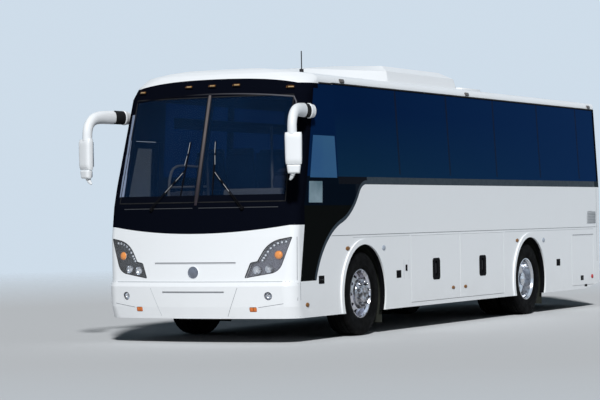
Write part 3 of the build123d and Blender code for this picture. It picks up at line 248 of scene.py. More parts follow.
def graded(made, axis, start, end, first, last):
    """Runs a material's colour from a first to a last one between two places on an axis."""
    tree = made.node_tree
    share = spread(tree, axis_value(tree, axis), 0.0, 1.0, start, end)
    tree.links.new(mix_color(tree, share, first, last), shader_of(made).inputs["Base Color"])
    return made


# Materials
white = (0.80, 0.815, 0.83)
band_foot = 1.8545
glass_foot = 1.9455


def paint(name, color):
    """Gloss vehicle paint with a faint orange peel and a little road film low down."""
    made = new_material(name, "white_paint", color, 0.34, Coat_Weight=0.2, Coat_Roughness=0.12)
    add_film(made, (0.30, 0.28, 0.25), 0.7, 0.10)
    vary_rough(made, 6.0, 0.30, 0.38)
    return add_bump(made, 90.0, 0.00002)


def rubber(name, slot, color, dust):
    made = vary_rough(new_material(name, slot, color, 0.75, Specular_IOR_Level=0.12), 12.0, 0.65, 0.88)
    return add_bump(vary_color(made, 7.0, dust, 0.0, 0.6), 420.0, 0.0004)


def plastic(name, slot, color, rough, specular=0.25):
    made = new_material(name, slot, color, rough, Specular_IOR_Level=specular)
    vary_rough(made, 20.0, rough - 0.07, rough + 0.07)
    return add_bump(made, 600.0, 0.0003)


def metal(name, color, rough, slot="alloy", stretch=None):
    made = new_material(name, slot, color, rough, 1.0)
    return vary_rough(made, 30.0, rough * 0.7, rough * 1.3, stretch)


def glass_like(name, slot, color, other, alpha, specular, rough=0.03):
    made = new_material(name, slot, color, rough, Specular_IOR_Level=specular, Alpha=alpha)
    return vary_rough(vary_color(made, 1.3, other), 4.0, rough * 0.7, rough * 1.4)


def cloth(name, color, other, weave):
    """Seat moquette: a fine two-way weave with a soft sheen."""
    made = new_material(name, "seat_cloth", color, 0.9, Sheen_Weight=0.4, Sheen_Roughness=0.5)
    tree = made.node_tree
    turns = [combine(tree, "MULTIPLY", axis_value(tree, axis), weave) for axis in "YZ"]
    threads = combine(tree, "MULTIPLY", *(combine(tree, "SINE", turn, 0) for turn in turns))
    tint(made, spread(tree, threads, 0.0, 1.0, -0.6, 0.6), other)
    return bump_from(vary_color(made, 9.0, tuple(part * 0.6 for part in color), 0.0, 0.5), threads, 0.0006)


def amber_like(name, color, low=0.2, high=0.35):
    made = new_material(name, "amber_lens", color, 0.3, Specular_IOR_Level=0.2)
    return vary_rough(made, 60.0, low, high)


def facing_cabin(tree):
    """A factor of 1 on faces that look towards the cabin's middle."""
    place = coordinates(tree)
    normal = tree.nodes.new("ShaderNodeNewGeometry").outputs["Normal"]
    flat = []
    for source, shift in ((place, cabin_axis_height), (normal, 0.0)):
        split = tree.nodes.new("ShaderNodeSeparateXYZ")
        tree.links.new(source, split.inputs["Vector"])
        flat.append((split.outputs["Y"], combine(tree, "SUBTRACT", split.outputs["Z"], shift)))
    (y, z), (normal_y, normal_z) = flat
    outwards = combine(
        tree, "ADD", combine(tree, "MULTIPLY", y, normal_y), combine(tree, "MULTIPLY", z, normal_z))
    inner = combine(tree, "LESS_THAN", outwards, -0.2)
    return combine(tree, "MULTIPLY", inner, combine(tree, "GREATER_THAN", axis_value(tree, "Z"), floor_top))


def lined(made, color):
    """Faces that look towards the cabin's middle get the lining's colour, others keep their own."""
    return tint(made, facing_cabin(made.node_tree), color)


def header_masked(made):
    """Blackens the front of the roof up to the arched line over the windscreen, and whitens above it."""
    tree = made.node_tree
    across = combine(tree, "POWER", axis_value(tree, "Y"), 2.0)
    bow = combine(tree, "ADD", across, combine(tree, "MULTIPLY", across, across))
    drop = combine(tree, "MULTIPLY", bow, header_drop)
    edge = combine(tree, "MAXIMUM", combine(tree, "SUBTRACT", header_top, drop), header_side)
    below = combine(tree, "LESS_THAN", axis_value(tree, "Z"), edge)
    front = combine(tree, "GREATER_THAN", axis_value(tree, "X"), ahead(header_back))
    black = combine(tree, "MULTIPLY", below, front)
    high = combine(tree, "GREATER_THAN", axis_value(tree, "Z"), header_low)
    over_side = combine(tree, "LESS_THAN", axis_value(tree, "X"), ahead(header_corner))
    # Behind the corner the roof's edge takes the glass's navy, which is painted sky reflection
    shown = mix_color(tree, black, white, mix_color(tree, over_side, panel_black, navy_top))
    tint(made, high, shown)
    return dulled(made, black)


def dulled(made, factor):
    """Takes the gloss off where a factor is 1."""
    tree = made.node_tree
    keep = combine(tree, "SUBTRACT", 1.0, factor)
    for socket in ("Coat Weight", "Specular IOR Level"):
        gloss = shader_of(made).inputs[socket]
        tree.links.new(combine(tree, "MULTIPLY", keep, gloss.default_value), gloss)
    return made


cabin_axis_height = 2.1
lining = (0.022, 0.023, 0.027)
panel_black = (0.0026, 0.0034, 0.0070)
# Glass colours: the glass's dark tint with painted sky reflection; the lighter foot and the bluer rear are
# painted reflection
navy_top = (0.0024, 0.0152, 0.0600)
navy_foot = (0.0055, 0.0285, 0.0680)
navy_rear = (0.0064, 0.0285, 0.0980)
# Painted light: the glow of the side glass's inner faces, standing for daylight through the glass
painted_cabin_glow = (0.0012, 0.0105, 0.0560)
# The black header over the windscreen: its top, its drop to the sides, and how far forward it begins
header_top = 3.127
header_drop = 0.030
header_side = 3.052
header_low = 2.99
header_back = 0.2
header_corner = 1.060
white_paint = paint("white_paint", white)
wall_paint = lined(by_height(
    paint("wall_paint", white),
    ((band_foot, (0.026, 0.035, 0.042)), (glass_foot, panel_black)),
), lining)
dulled(wall_paint, combine(
    wall_paint.node_tree, "GREATER_THAN", axis_value(wall_paint.node_tree, "Z"), band_foot))
roof_paint = lined(header_masked(paint("roof_paint", white)), lining)
pod_paint = paint("pod_paint", white)
panel_paint = lined(paint("panel_paint", white), lining)
panel_sheen = dict(Specular_IOR_Level=0.006)
black_panel = new_material("black_panel", "black_panel", panel_black, 0.16, **panel_sheen)
vary_rough(add_bump(black_panel, 90.0, 0.00002), 6.0, 0.12, 0.20)
header_panel = new_material("header_panel", "black_panel", panel_black, 0.16, **panel_sheen)
lined(vary_rough(header_masked(header_panel), 6.0, 0.12, 0.20), lining)
quarter_panel = new_material("quarter_panel", "black_panel", (0.0050, 0.0060, 0.0060), 0.16, **panel_sheen)
# Above the glass foot the quarter panel takes the glass's navy, which is painted sky reflection
header_masked(by_height(quarter_panel, ((1.60, (0.0026, 0.0058, 0.0120)), (glass_foot, navy_top))))
lined(vary_rough(quarter_panel, 6.0, 0.12, 0.20), lining)
band_grey = plastic("band_grey", "black_panel", (0.024, 0.036, 0.048), 0.5, 0.08)
# The side glass has no specular: its navy, lighter towards the foot and bluer towards the rear, is painted
# sky reflection
side_glass = glass_like("side_glass", "dark_glass", navy_top, navy_top, 0.97, 0.0)
graded(side_glass, "Z", 1.95, 2.75, navy_foot, navy_top)
graded(side_glass, "X", tail_x, ahead(0), navy_rear, base_color(side_glass))
# Painted light: the side glass's inner faces glow, though there is no lamp
glow_strength = shader_of(side_glass).inputs["Emission Strength"]
side_glass.node_tree.links.new(facing_cabin(side_glass.node_tree), glow_strength)
shader_of(side_glass).inputs["Emission Color"].default_value = (*painted_cabin_glow, 1)
# Windscreen: its navy, with little specular, is painted sky reflection
clear_glass = glass_like(
    "clear_glass", "clear_glass", (0.0030, 0.0120, 0.0340), (0.0040, 0.0170, 0.0480), 0.46, 0.03)
door_glass = glass_like("door_glass", "dark_glass", (0.030, 0.050, 0.052), (0.060, 0.085, 0.080), 0.62, 0.03)
# Driver's window: its light blue is painted light, not the pane's own tint
driver_glass = glass_like(
    "driver_glass", "clear_glass", (0.024, 0.100, 0.245), (0.034, 0.125, 0.250), 0.94, 0.02)
# Lower driver's pane: the pale clouds in its colour are painted reflections
low_glass = glass_like("low_glass", "clear_glass", (0.060, 0.125, 0.155), (0.360, 0.470, 0.540), 0.98, 0.02)
trim_plastic = plastic("trim_plastic", "trim_plastic", (0.09, 0.09, 0.095), 0.55)
black_plastic = plastic("black_plastic", "black_plastic", (0.014, 0.014, 0.016), 0.5)
seal_rubber = rubber("seal_rubber", "black_plastic", (0.010, 0.010, 0.011), (0.02, 0.02, 0.02))
floor_vinyl = new_material("floor_vinyl", "floor_vinyl", (0.12, 0.12, 0.13), 0.5)
vary_color(floor_vinyl, 300.0, (0.3, 0.3, 0.32), 0.0, 0.5)
frame_paint = new_material("frame_paint", "frame_paint", (0.020, 0.020, 0.021), 0.5)
vary_color(vary_rough(frame_paint, 9.0, 0.4, 0.75), 5.0, (0.075, 0.062, 0.050), 0.0, 0.5)
forged_steel = new_material("forged_steel", "forged_steel", (0.07, 0.07, 0.07), 0.5, 0.6)
vary_color(add_bump(forged_steel, 120.0, 0.0008), 7.0, (0.12, 0.09, 0.06), 0.0, 0.5)
alloy = metal("alloy", (0.66, 0.67, 0.70), 0.17, stretch=(1, 8, 1))
# Front rims: a brighter copy of the rim alloy; its bluish base and brownish clouds are painted sky and ground
# reflections
front_alloy = metal("front_alloy", (0.84, 0.84, 0.92), 0.15, stretch=(1, 8, 1))
vary_color(front_alloy, 7.0, (0.30, 0.28, 0.25), 0.0, 0.9)
# Front wheel trim: a darker copy of the chrome; its dark clouds are painted reflections of dark surroundings
front_chrome = metal("front_chrome", (0.58, 0.58, 0.62), 0.10)
vary_color(front_chrome, 16.0, (0.045, 0.043, 0.042), 0.0, 1.0)
chrome = metal("chrome", (0.74, 0.75, 0.78), 0.08)
# Windscreen divider: pale towards the top and dark towards the foot, painted light and shade
satin_trim = plastic("satin_trim", "trim_plastic", (0.085, 0.074, 0.074), 0.4, 0.05)
graded(satin_trim, "Z", 1.75, 2.45, (0.030, 0.024, 0.030), (0.125, 0.108, 0.108))
# Head strip over the windscreen: dark at the right and pale at the left, a painted reflection
head_trim = plastic("head_trim", "trim_plastic", (0.085, 0.074, 0.074), 0.5, 0.0)
graded(head_trim, "Y", -0.35, 1.0, (0.0035, 0.0040, 0.0070), (0.110, 0.110, 0.125))
# A pale strip on the right windscreen pillar: a painted sky reflection on the glass edge
pillar_reflection = plastic("pillar_reflection", "trim_plastic", (0.19, 0.23, 0.32), 0.4, 0.05)
boss_silver = metal("boss_silver", (0.26, 0.27, 0.31), 0.38)
matt_black = plastic("matt_black", "black_plastic", (0.004, 0.004, 0.005), 0.8, 0.05)
dark_lamp = plastic("dark_lamp", "black_plastic", (0.10, 0.09, 0.085), 0.4)
# Grey of the troughs in the front's slots, painted shade in the white recesses, and of the blank rear plate
slot_shade_and_plate_grey = plastic("slot_shade_and_plate_grey", "white_paint", (0.52, 0.53, 0.55), 0.5)
seam_grey = plastic("seam_grey", "black_plastic", (0.16, 0.17, 0.19), 0.6)
flap_grey = rubber("flap_grey", "black_plastic", (0.018, 0.020, 0.016), (0.030, 0.032, 0.026))
faint_seam = plastic("faint_seam", "white_paint", (0.42, 0.44, 0.46), 0.6)
dot_grey = plastic("dot_grey", "lamp_lens", (0.34, 0.38, 0.44), 0.3)
# Pale trim for the cabin's rails and dashboard, and painted highlights on the wipers
pale_trim_and_glints = plastic("pale_trim_and_glints", "trim_plastic", (0.42, 0.43, 0.44), 0.45)
rack_grey = plastic("rack_grey", "trim_plastic", (0.045, 0.047, 0.052), 0.6)
dash_grey = plastic("dash_grey", "trim_plastic", (0.16, 0.16, 0.17), 0.6)
# Lamp bowls: one chrome, painted dark on the right-hand lamp and lighter on the left-hand one: painted light
# and shade
side_shaded_chrome = metal("side_shaded_chrome", (0.13, 0.125, 0.145), 0.30)
graded(side_shaded_chrome, "Y", -0.3, 0.3, (0.030, 0.032, 0.036), (0.150, 0.140, 0.165))
mirror_glass = metal("mirror_glass", (0.55, 0.58, 0.62), 0.03)
tyre_rubber = rubber("tyre_rubber", "tyre_rubber", (0.0020, 0.0020, 0.0023), (0.0062, 0.0060, 0.0058))
shader_of(tyre_rubber).inputs["Specular IOR Level"].default_value = 0.05
seat_cloth = cloth("seat_cloth", (0.035, 0.050, 0.110), (0.085, 0.095, 0.150), 900.0)
seat_trim = plastic("seat_trim", "black_plastic", (0.03, 0.03, 0.035), 0.5)
lamp_lens = glass_like("lamp_lens", "lamp_lens", (0.75, 0.78, 0.82), (0.80, 0.83, 0.86), 0.05, 0.2)
amber_lens = amber_like("amber_lens", (0.80, 0.25, 0.006), 0.12, 0.28)
low_amber = amber_like("low_amber", (0.62, 0.17, 0.045))
dim_amber = amber_like("dim_amber", (0.20, 0.085, 0.018))
# Pale amber for a painted highlight on the roof markers
amber_glint = amber_like("amber_glint", (0.46, 0.36, 0.20))
red_lens = new_material("red_lens", "red_lens", (0.42, 0.010, 0.014), 0.2, Subsurface_Weight=0.2)
vary_rough(red_lens, 60.0, 0.12, 0.28)
# Projector lenses: the pale clouds on the dark glass are painted highlights
projector_glass = new_material("projector_glass", "lamp_lens", (0.10, 0.105, 0.12), 0.06)
vary_color(vary_rough(projector_glass, 80.0, 0.04, 0.10), 34.0, (0.62, 0.64, 0.68), 0.0, 1.0)
lamp_bulb = new_material("lamp_bulb", "lamp_lens", (0.85, 0.88, 0.92), 0.08)
vary_rough(lamp_bulb, 80.0, 0.05, 0.12)

slot_material = {
    "white_paint": white_paint,
    "black_panel": black_panel,
    "dark_glass": side_glass,
    "clear_glass": clear_glass,
    "lamp_lens": lamp_lens,
    "amber_lens": amber_lens,
    "red_lens": red_lens,
    "alloy": alloy,
    "tyre_rubber": tyre_rubber,
    "frame_paint": frame_paint,
    "forged_steel": forged_steel,
    "black_plastic": black_plastic,
    "trim_plastic": trim_plastic,
    "seat_cloth": seat_cloth,
    "floor_vinyl": floor_vinyl,
    "wiper_black": black_plastic,
}
node_material = {
    "side_wall_left": wall_paint,
    "side_wall_right": wall_paint,
    "rear_wall": wall_paint,
    "roof": roof_paint,
    "front_panel": panel_paint,
    "windscreen_surround": header_panel,
    "quarter_panels": quarter_panel,
    "entrance_door_glass": door_glass,
    "entrance_door": black_panel,
    "driver_window": driver_glass,
    "marker_lamps": dim_amber,
    "roof_pod": pod_paint,
    "wheel_housings": flap_grey,
    "front_rim_left": front_alloy,
    "front_rim_right": front_alloy,
    "parcel_racks": rack_grey,
    "dashboard": dash_grey,
}


def finish_nodes():
    """Gives every CAD node the material of its slot, or one of its own."""
    for row in frame["record"]["subparts"]:
        node = nodes[row["node"]]
        node.data.materials.clear()
        node.data.materials.append(node_material.get(row["node"], slot_material[row["material_slot"]]))


# Shapes: vertices and faces gathered for a piece
class Shape:
    def __init__(self, vertices=(), faces=()):
        self.vertices = [Vector(place) for place in vertices]
        self.faces = [list(face) for face in faces]

    def add(self, *others):
        for other in others:
            start = len(self.vertices)
            self.vertices += [place.copy() for place in other.vertices]
            self.faces += [[start + corner for corner in face] for face in other.faces]
        return self

    def placed(self, matrix):
        """A copy moved by a matrix or by an offset."""
        turn = matrix if isinstance(matrix, Matrix) else Matrix.Translation(matrix)
        faces = self.faces if turn.determinant() > 0 else [face[::-1] for face in self.faces]
        return Shape([turn @ place for place in self.vertices], faces)

    def mirrored(self):
        return self.placed(Matrix.Scale(-1, 4, (0, 1, 0)))

    def both_sides(self):
        return Shape().add(self, self.mirrored())


def add_piece(name, shape, material, body="root", sharp=35):
    """Makes a piece of a shape, finishes it and lets it ride on a body."""
    mesh = bpy.data.meshes.new(name)
    mesh.from_pydata(shape.vertices, [], shape.faces)
    work = bmesh.new()
    work.from_mesh(mesh)
    bmesh.ops.remove_doubles(work, verts=work.verts, dist=0.00002)
    bmesh.ops.recalc_face_normals(work, faces=work.faces)
    work.to_mesh(mesh)
    work.free()
    mesh.shade_smooth()
    mesh.set_sharp_from_angle(angle=radians(sharp))
    mesh.materials.append(material)
    piece = bpy.data.objects.new(name, mesh)
    bpy.context.scene.collection.objects.link(piece)
    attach(piece, body)
    return piece


def add_pair(name, shape, material, sharp=35):
    """Makes one piece of a left-hand shape and its mirror image."""
    paired = shape.both_sides()
    return add_piece(name, paired, material, sharp=sharp)


def grid_faces(rows, columns, round_rows=False, round_columns=True):
    """Faces between neighbouring rows of vertices; either way may close on itself."""
    faces = []
    for row in range(rows if round_rows else rows - 1):
        here, there = row * columns, (row + 1) % rows * columns
        for column in range(columns if round_columns else columns - 1):
            after = (column + 1) % columns
            faces.append((here + column, here + after, there + after, there + column))
    return faces


def end_caps(rows, columns):
    """The faces that close the first and the last row."""
    return [tuple(range(columns)), tuple(reversed(range((rows - 1) * columns, rows * columns)))]


def lathe(outline, steps, closed=False):
    """An outline of (distance along the axle, radius) turned about the Y axis."""
    places = []
    for step in range(steps):
        turn = 2 * pi * step / steps
        places += [(r * cos(turn), a, r * sin(turn)) for a, r in outline]
    return Shape(places, grid_faces(steps, len(outline), True, closed))


def bar_along(line, section, closed=False):
    """A bar along (place, normal) pairs, with a section of (across, up) pairs."""
    count = len(line)
    places = []
    for index, (place, normal) in enumerate(line):
        before = line[index - 1][0] if index or closed else place
        after = line[(index + 1) % count][0] if index < count - 1 or closed else place
        way = (after - before).normalized()
        across = way.cross(normal).normalized()
        up = across.cross(way)
        places += [place + across * a + up * u for a, u in section]
    faces = grid_faces(count, len(section), closed)
    return Shape(places, faces if closed else faces + end_caps(count, len(section)))


def strip_section(width, height, sink=0.002):
    """A flat strip with rounded upper edges."""
    half = width / 2
    round_off = min(height, half) * 0.6
    return (
        (-half, -sink),
        (-half, height - round_off),
        (round_off - half, height),
        (half - round_off, height),
        (half, height - round_off),
        (half, -sink),
    )


def oval_section(across, up, count=16):
    return [(across * cos(2 * pi * step / count), up * sin(2 * pi * step / count)) for step in range(count)]


def squared(turn, power):
    """A point of the unit circle, pushed out towards the corners of its square."""
    return [abs(part) ** power * (1 if part > 0 else -1) for part in (cos(turn), sin(turn))]


def taken(work, places):
    """A shape of a bmesh's faces on the given places; the bmesh is freed."""
    shape = Shape(places, [[vertex.index for vertex in face.verts] for face in work.faces])
    work.free()
    return shape


def rounded_box(size, bevel, segments=2):
    """A box about the origin with bevelled edges."""
    work = bmesh.new()
    bmesh.ops.create_cube(work, size=1)
    bmesh.ops.scale(work, vec=size, verts=work.verts)
    bmesh.ops.bevel(work, geom=work.edges[:], offset=bevel, segments=segments, profile=0.5, affect="EDGES")
    return taken(work, [vertex.co for vertex in work.verts])


def box_at(low, high, bevel):
    """A bevelled box between two corners."""
    low, high = Vector(low), Vector(high)
    return rounded_box(high - low, bevel).placed((low + high) / 2)


def curve_through(points, steps):
    """Points along a smooth curve through the given ones."""
    places = [Vector(point) for point in points]
    places = [2 * places[0] - places[1]] + places + [2 * places[-1] - places[-2]]
    curve = []
    for index in range(1, len(places) - 2):
        p0, p1, p2, p3 = places[index - 1:index + 3]
        for step in range(steps):
            t = step / steps
            curve.append((
                p1 * 2 + (p2 - p0) * t + (p0 * 2 - p1 * 5 + p2 * 4 - p3) * t ** 2
                + (p1 * 3 - p0 - p2 * 3 + p3) * t ** 3
            ) / 2)
    return curve + [places[-2]]


def divided(points, step, closed=False):
    """A run of points with more between them, no further apart than a step."""
    ends = points[1:] + (points[:1] if closed else [])
    result = []
    for start, end in zip(points, ends):
        count = max(1, int(hypot(*(b - a for a, b in zip(start, end))) / step + 0.5))
        for part in range(count):
            result.append(tuple(a + (b - a) * part / count for a, b in zip(start, end)))
    return result if closed else result + [tuple(points[-1])]


def arc_through(start, mid, end, count):
    """Points of (u, v) along the circle through three points."""
    ax, ay = start
    bx, by = mid
    cx, cy = end
    d = 2 * (ax * (by - cy) + bx * (cy - ay) + cx * (ay - by))
    squares = [x * x + y * y for x, y in (start, mid, end)]
    centre = Vector((
        (squares[0] * (by - cy) + squares[1] * (cy - ay) + squares[2] * (ay - by)) / d,
        (squares[0] * (cx - bx) + squares[1] * (ax - cx) + squares[2] * (bx - ax)) / d,
    ))
    spokes = [Vector(point) - centre for point in (start, mid, end)]
    sweep_angle = -spokes[0].angle_signed(spokes[1]) - spokes[1].angle_signed(spokes[2])
    result = []
    for step in range(count + 1):
        turn = sweep_angle * step / count
        spoke = Matrix.Rotation(turn, 2) @ spokes[0]
        result.append((centre.x + spoke.x, centre.y + spoke.y))
    return result


# Skins: places on the body's outer faces, found by casting rays on the CAD nodes
def skin(names):
    places, faces = [], []
    for name in names:
        mesh = nodes[name].data
        start = len(places)
        places += [vertex.co for vertex in mesh.vertices]
        faces += [[start + corner for corner in face.vertices] for face in mesh.polygons]
    return BVHTree.FromPolygons(places, faces)


front_skin = skin((
    "front_bumper", "front_panel", "head_lamps", "windscreen_surround", "windscreen_panes", "quarter_panels",
    "driver_window", "side_wall_left", "side_wall_right", "roof", "marker_lamps",
))
side_skin = skin((
    "front_bumper", "front_panel", "head_lamps", "windscreen_surround", "quarter_panels", "driver_window",
    "side_wall_left", "window_glass", "rear_bumper", "roof",
    "luggage_flap_front_left", "luggage_flap_rear_left", "service_flap_left", "rear_wall",
))
rear_skin = skin(("rear_wall", "rear_bumper", "engine_door", "tail_lamps", "window_glass", "roof"))
roof_skin = skin(("roof", "roof_pod"))
far = 10.0


def cast(tree, source, way, lift):
    """The place and outward normal where a ray meets a skin, raised by a lift."""
    way = Vector(way)
    place, normal, _, _ = tree.ray_cast(Vector(source), way)
    if normal.dot(way) > 0:
        normal = -normal
    return place + normal * lift, normal


def on_front(y, z, lift=0.0):
    return cast(front_skin, (far, y, z), (-1, 0, 0), lift)


def on_side(x, z, lift=0.0):
    return cast(side_skin, (x, far, z), (0, -1, 0), lift)


def on_rear(y, z, lift=0.0):
    return cast(rear_skin, (-far, y, z), (1, 0, 0), lift)


def on_roof(x, y, lift=0.0):
    return cast(roof_skin, (x, y, far), (0, 0, -1), lift)


def trim_along(where, points, width, height, step=0.05, closed=False, lift=0.0):
    """A strip on the body along points of a view; where is the view's function."""
    line = [where(u, v, lift) for u, v in divided([tuple(point) for point in points], step, closed)]
    return bar_along(line, strip_section(width, height), closed)


def sheet_over(where, outline, lift, step):
    """A sheet inside an outline of a view's points, laid on the body in a fine grid."""
    work = bmesh.new()
    work.faces.new([work.verts.new((u, v, 0)) for u, v in outline])
    for axis in (0, 1):
        values = [point[axis] for point in outline]
        normal = [1 if axis == index else 0 for index in range(3)]
        for number in range(1, int((max(values) - min(values)) / step) + 1):
            place = [value * (min(values) + number * step) for value in normal]
            bmesh.ops.bisect_plane(
                work, geom=work.verts[:] + work.edges[:] + work.faces[:], plane_co=place, plane_no=normal)
    places = [where(vertex.co.x, vertex.co.y, lift)[0] for vertex in work.verts]
    work.verts.index_update()
    return taken(work, places)


def thick_sheet(where, outline, lift, depth, step):
    """A closed sheet between two lifts, with the outline's edge all round."""
    top = sheet_over(where, outline, lift, step)
    return closed_back(top, sheet_over(where, outline, lift - depth, step))


def closed_back(top, back):
    """Joins two sheets of the same grid along their open edge."""
    count = len(top.vertices)
    edges = {}
    for face in top.faces:
        for index, corner in enumerate(face):
            edges[(corner, face[(index + 1) % len(face)])] = True
    rim = [(a, b) for a, b in edges if (b, a) not in edges]
    shape = Shape(top.vertices, top.faces)
    shape.vertices += back.vertices
    shape.faces += [[count + corner for corner in face[::-1]] for face in back.faces]
    shape.faces += [[b, a, count + a, count + b] for a, b in rim]
    return shape


def tray(where, outline, lift, depth, step):
    """An open box behind an outline: its floor and its wall, with no lid."""
    edge = divided(outline, step, closed=True)
    low = [where(u, v, lift - depth)[0] for u, v in edge]
    high = [where(u, v, lift)[0] for u, v in edge]
    wall = Shape(low + high, grid_faces(2, len(edge)))
    return Shape().add(sheet_over(where, outline, lift - depth, step), wall)


def axis_turn(normal):
    """A turn that takes the Y axis to a normal, with Z kept as upright as it can be."""
    y = normal.normalized()
    x = y.cross(Vector((0, 0, 1))).normalized()
    z = x.cross(y)
    return Matrix((x, y, z)).transposed().to_4x4()


def set_on(shape, spot):
    """Puts a shape that was made along the Y axis on a (place, normal) spot."""
    place, normal = spot
    return shape.placed(Matrix.Translation(place) @ axis_turn(normal))


def block_on(where, u, v, size, bevel, lift=0.0):
    """A block of (length, thickness, height) on a view's place, with bevels that fit its thickness."""
    return set_on(rounded_box(size, min(bevel, size[1] * 0.45)), where(u, v, lift))


def joined(maker, rows):
    """The shapes that a function makes of each row, as one."""
    return Shape().add(*(maker(*row) for row in rows))


def pairs(maker, rows):
    """The same, with their mirror images."""
    return joined(maker, rows).both_sides()


# Wheels
tread_steps = 152
zigzag_reach = 0.0025
groove_depth = 0.013
groove_half = 0.006
groove_places = (-0.084, -0.030, 0.030, 0.084)
shoulder_notch = 0.006
sidewall = (
    # distance from the tyre's middle, radius
    (0.105, 0.284),
    (0.114, 0.2985),
    (0.1275, 0.304),
    (0.132, 0.314),
    (0.1385, 0.330),
    (0.1425, 0.345),
    (0.1432, 0.352),
    (0.1455, 0.354),
    (0.1462, 0.372),
    (0.1472, 0.398),
    (0.1475, 0.420),
    (0.1468, 0.446),
    (0.1452, 0.449),
    (0.1430, 0.464),
    (0.1410, 0.480),
    (0.1395, 0.483),
    (0.1335, 0.502),
    (0.1240, 0.5085),
)
tread_edge = 0.112


def tread_line():
    """The tread's section from one edge to the other: (distance, radius, follows the zigzag)."""
    line = []
    for place in groove_places:
        for offset, depth in ((-1.0, 0.0), (-0.7, 1.0), (0.7, 1.0), (1.0, 0.0)):
            a = place + offset * groove_half
            crown = tyre_radius - 0.0045 * (a / tread_edge) ** 2
            line.append((a, crown - depth * groove_depth, True))
    edge = tyre_radius - 0.0045
    return [(-tread_edge, edge, False)] + line + [(tread_edge, edge, False)]


def tyre():
    """A tyre about the origin: ribs parted by zigzag grooves, notched shoulders and ringed sides."""
    left = [(a, r, False) for a, r in sidewall]
    right = [(-a, r, False) for a, r in reversed(sidewall)]
    section = left + tread_line()[::-1] + right
    places = []
    for step in range(tread_steps):
        turn = 2 * pi * step / tread_steps
        wave = (-1, 0, 1, 0)[step % 4] * zigzag_reach
        for a, r, follows in section:
            notch = shoulder_notch if step % 4 == 0 and 0.11 < abs(a) < 0.135 and r > 0.49 else 0
            places.append(((r - notch) * cos(turn), a + (wave if follows else 0), (r - notch) * sin(turn)))
    return Shape(places, grid_faces(tread_steps, len(section), True))


nut_count = 10
nut_circle = 0.143
disc_face = 0.132
disc_thickness = 0.014
hub_end = 0.158


def lug_nut():
    """A hexagon nut with a washer and a domed cover, standing along the Y axis."""
    washer = lathe(((0, 0), (0, 0.024), (0.003, 0.024), (0.004, 0.020)), 20)
    hexagon = lathe(((0.003, 0.0185), (0.019, 0.0185), (0.021, 0.0165)), 6)
    dome = lathe(((0.020, 0.0135), (0.030, 0.0130), (0.035, 0.0095), (0.037, 0.004), (0.037, 0)), 16)
    return Shape().add(washer, hexagon, dome)


def around(shape, radius, count, start=0.0):
    """Copies of a shape round the Y axis."""
    ring = Shape()
    for number in range(count):
        turn = Matrix.Rotation(start + 2 * pi * number / count, 4, "Y")
        ring.add(shape.placed(turn @ Matrix.Translation((radius, 0, 0))))
    return ring


def front_wheel_trim():
    """Nuts, the hub's domed cover with its bolts, the polished lip and the valve of a front wheel."""
    nuts = around(lug_nut(), nut_circle, nut_count, pi / nut_count).placed((0, hub_end - 0.003, 0))
    cover = lathe((
        (disc_face - 0.024, 0.190), (disc_face + 0.008, 0.189), (hub_end - 0.006, 0.181), (hub_end, 0.173),
        (hub_end, 0.116), (hub_end + 0.003, 0.111), (hub_end + 0.018, 0.105), (hub_end + 0.026, 0.094),
        (hub_end + 0.029, 0.074), (hub_end + 0.027, 0.068), (hub_end + 0.029, 0.030), (hub_end + 0.030, 0),
    ), 64)
    bolt = lathe(((0, 0.006), (0.005, 0.006), (0.006, 0.004), (0.006, 0)), 6)
    bolts = around(bolt, 0.082, 8).placed((0, hub_end + 0.028, 0))
    return Shape().add(nuts, cover, bolts, rim_lip(), valve())


def hand_hole_shade_ring():
    """A dark ring behind the hand holes of a front wheel's disc: painted shade seen through the holes."""
    return lathe(((0.100, 0.174), (0.030, 0.252), (0.026, 0.250), (0.096, 0.172)), 64, closed=True)


def rim_lip():
    """The rolled lip of a rim, just proud of its flange."""
    half = 0.127
    return lathe((
        (half - 0.012, 0.2965), (half - 0.002, 0.2985), (half + 0.0015, 0.2960), (half + 0.0015, 0.2890),
        (half - 0.002, 0.2850), (half - 0.010, 0.2835),
    ), 96, closed=True)


def valve():
    """A valve stem that leans outwards beside a hand hole."""
    stem = lathe((
        (0, 0.006), (0.006, 0.006), (0.008, 0.004), (0.046, 0.004), (0.048, 0.0055), (0.060, 0.0055),
        (0.062, 0),
    ), 12)
    lean = Matrix.Rotation(radians(18), 4, "Z") @ Matrix.Rotation(radians(8), 4, "X")
    return stem.placed(Matrix.Translation((0.252, 0.048, 0)) @ lean)


def rear_wheel_trim():
    """Nuts on the dished disc, the drive hub's flange bolts, the lip and the valve of a rear wheel."""
    face = -disc_face + disc_thickness
    nuts = around(lug_nut(), nut_circle, nut_count, pi / nut_count).placed((0, face, 0))
    flange = lathe((
        (0.060, 0.0905), (0.0785, 0.0905), (0.0805, 0.086), (0.0805, 0.050), (0.086, 0.044), (0.090, 0.030),
        (0.090, 0),
    ), 64)
    stud = lathe(((0, 0.009), (0.007, 0.009), (0.009, 0.007), (0.009, 0)), 6)
    studs = around(stud, 0.070, 8).placed((0, 0.080, 0))
    collar = lathe(((face, 0.117), (face + 0.008, 0.117), (face + 0.011, 0.107)), 64)
    return Shape().add(nuts, flange, studs, collar, rim_lip(), valve())


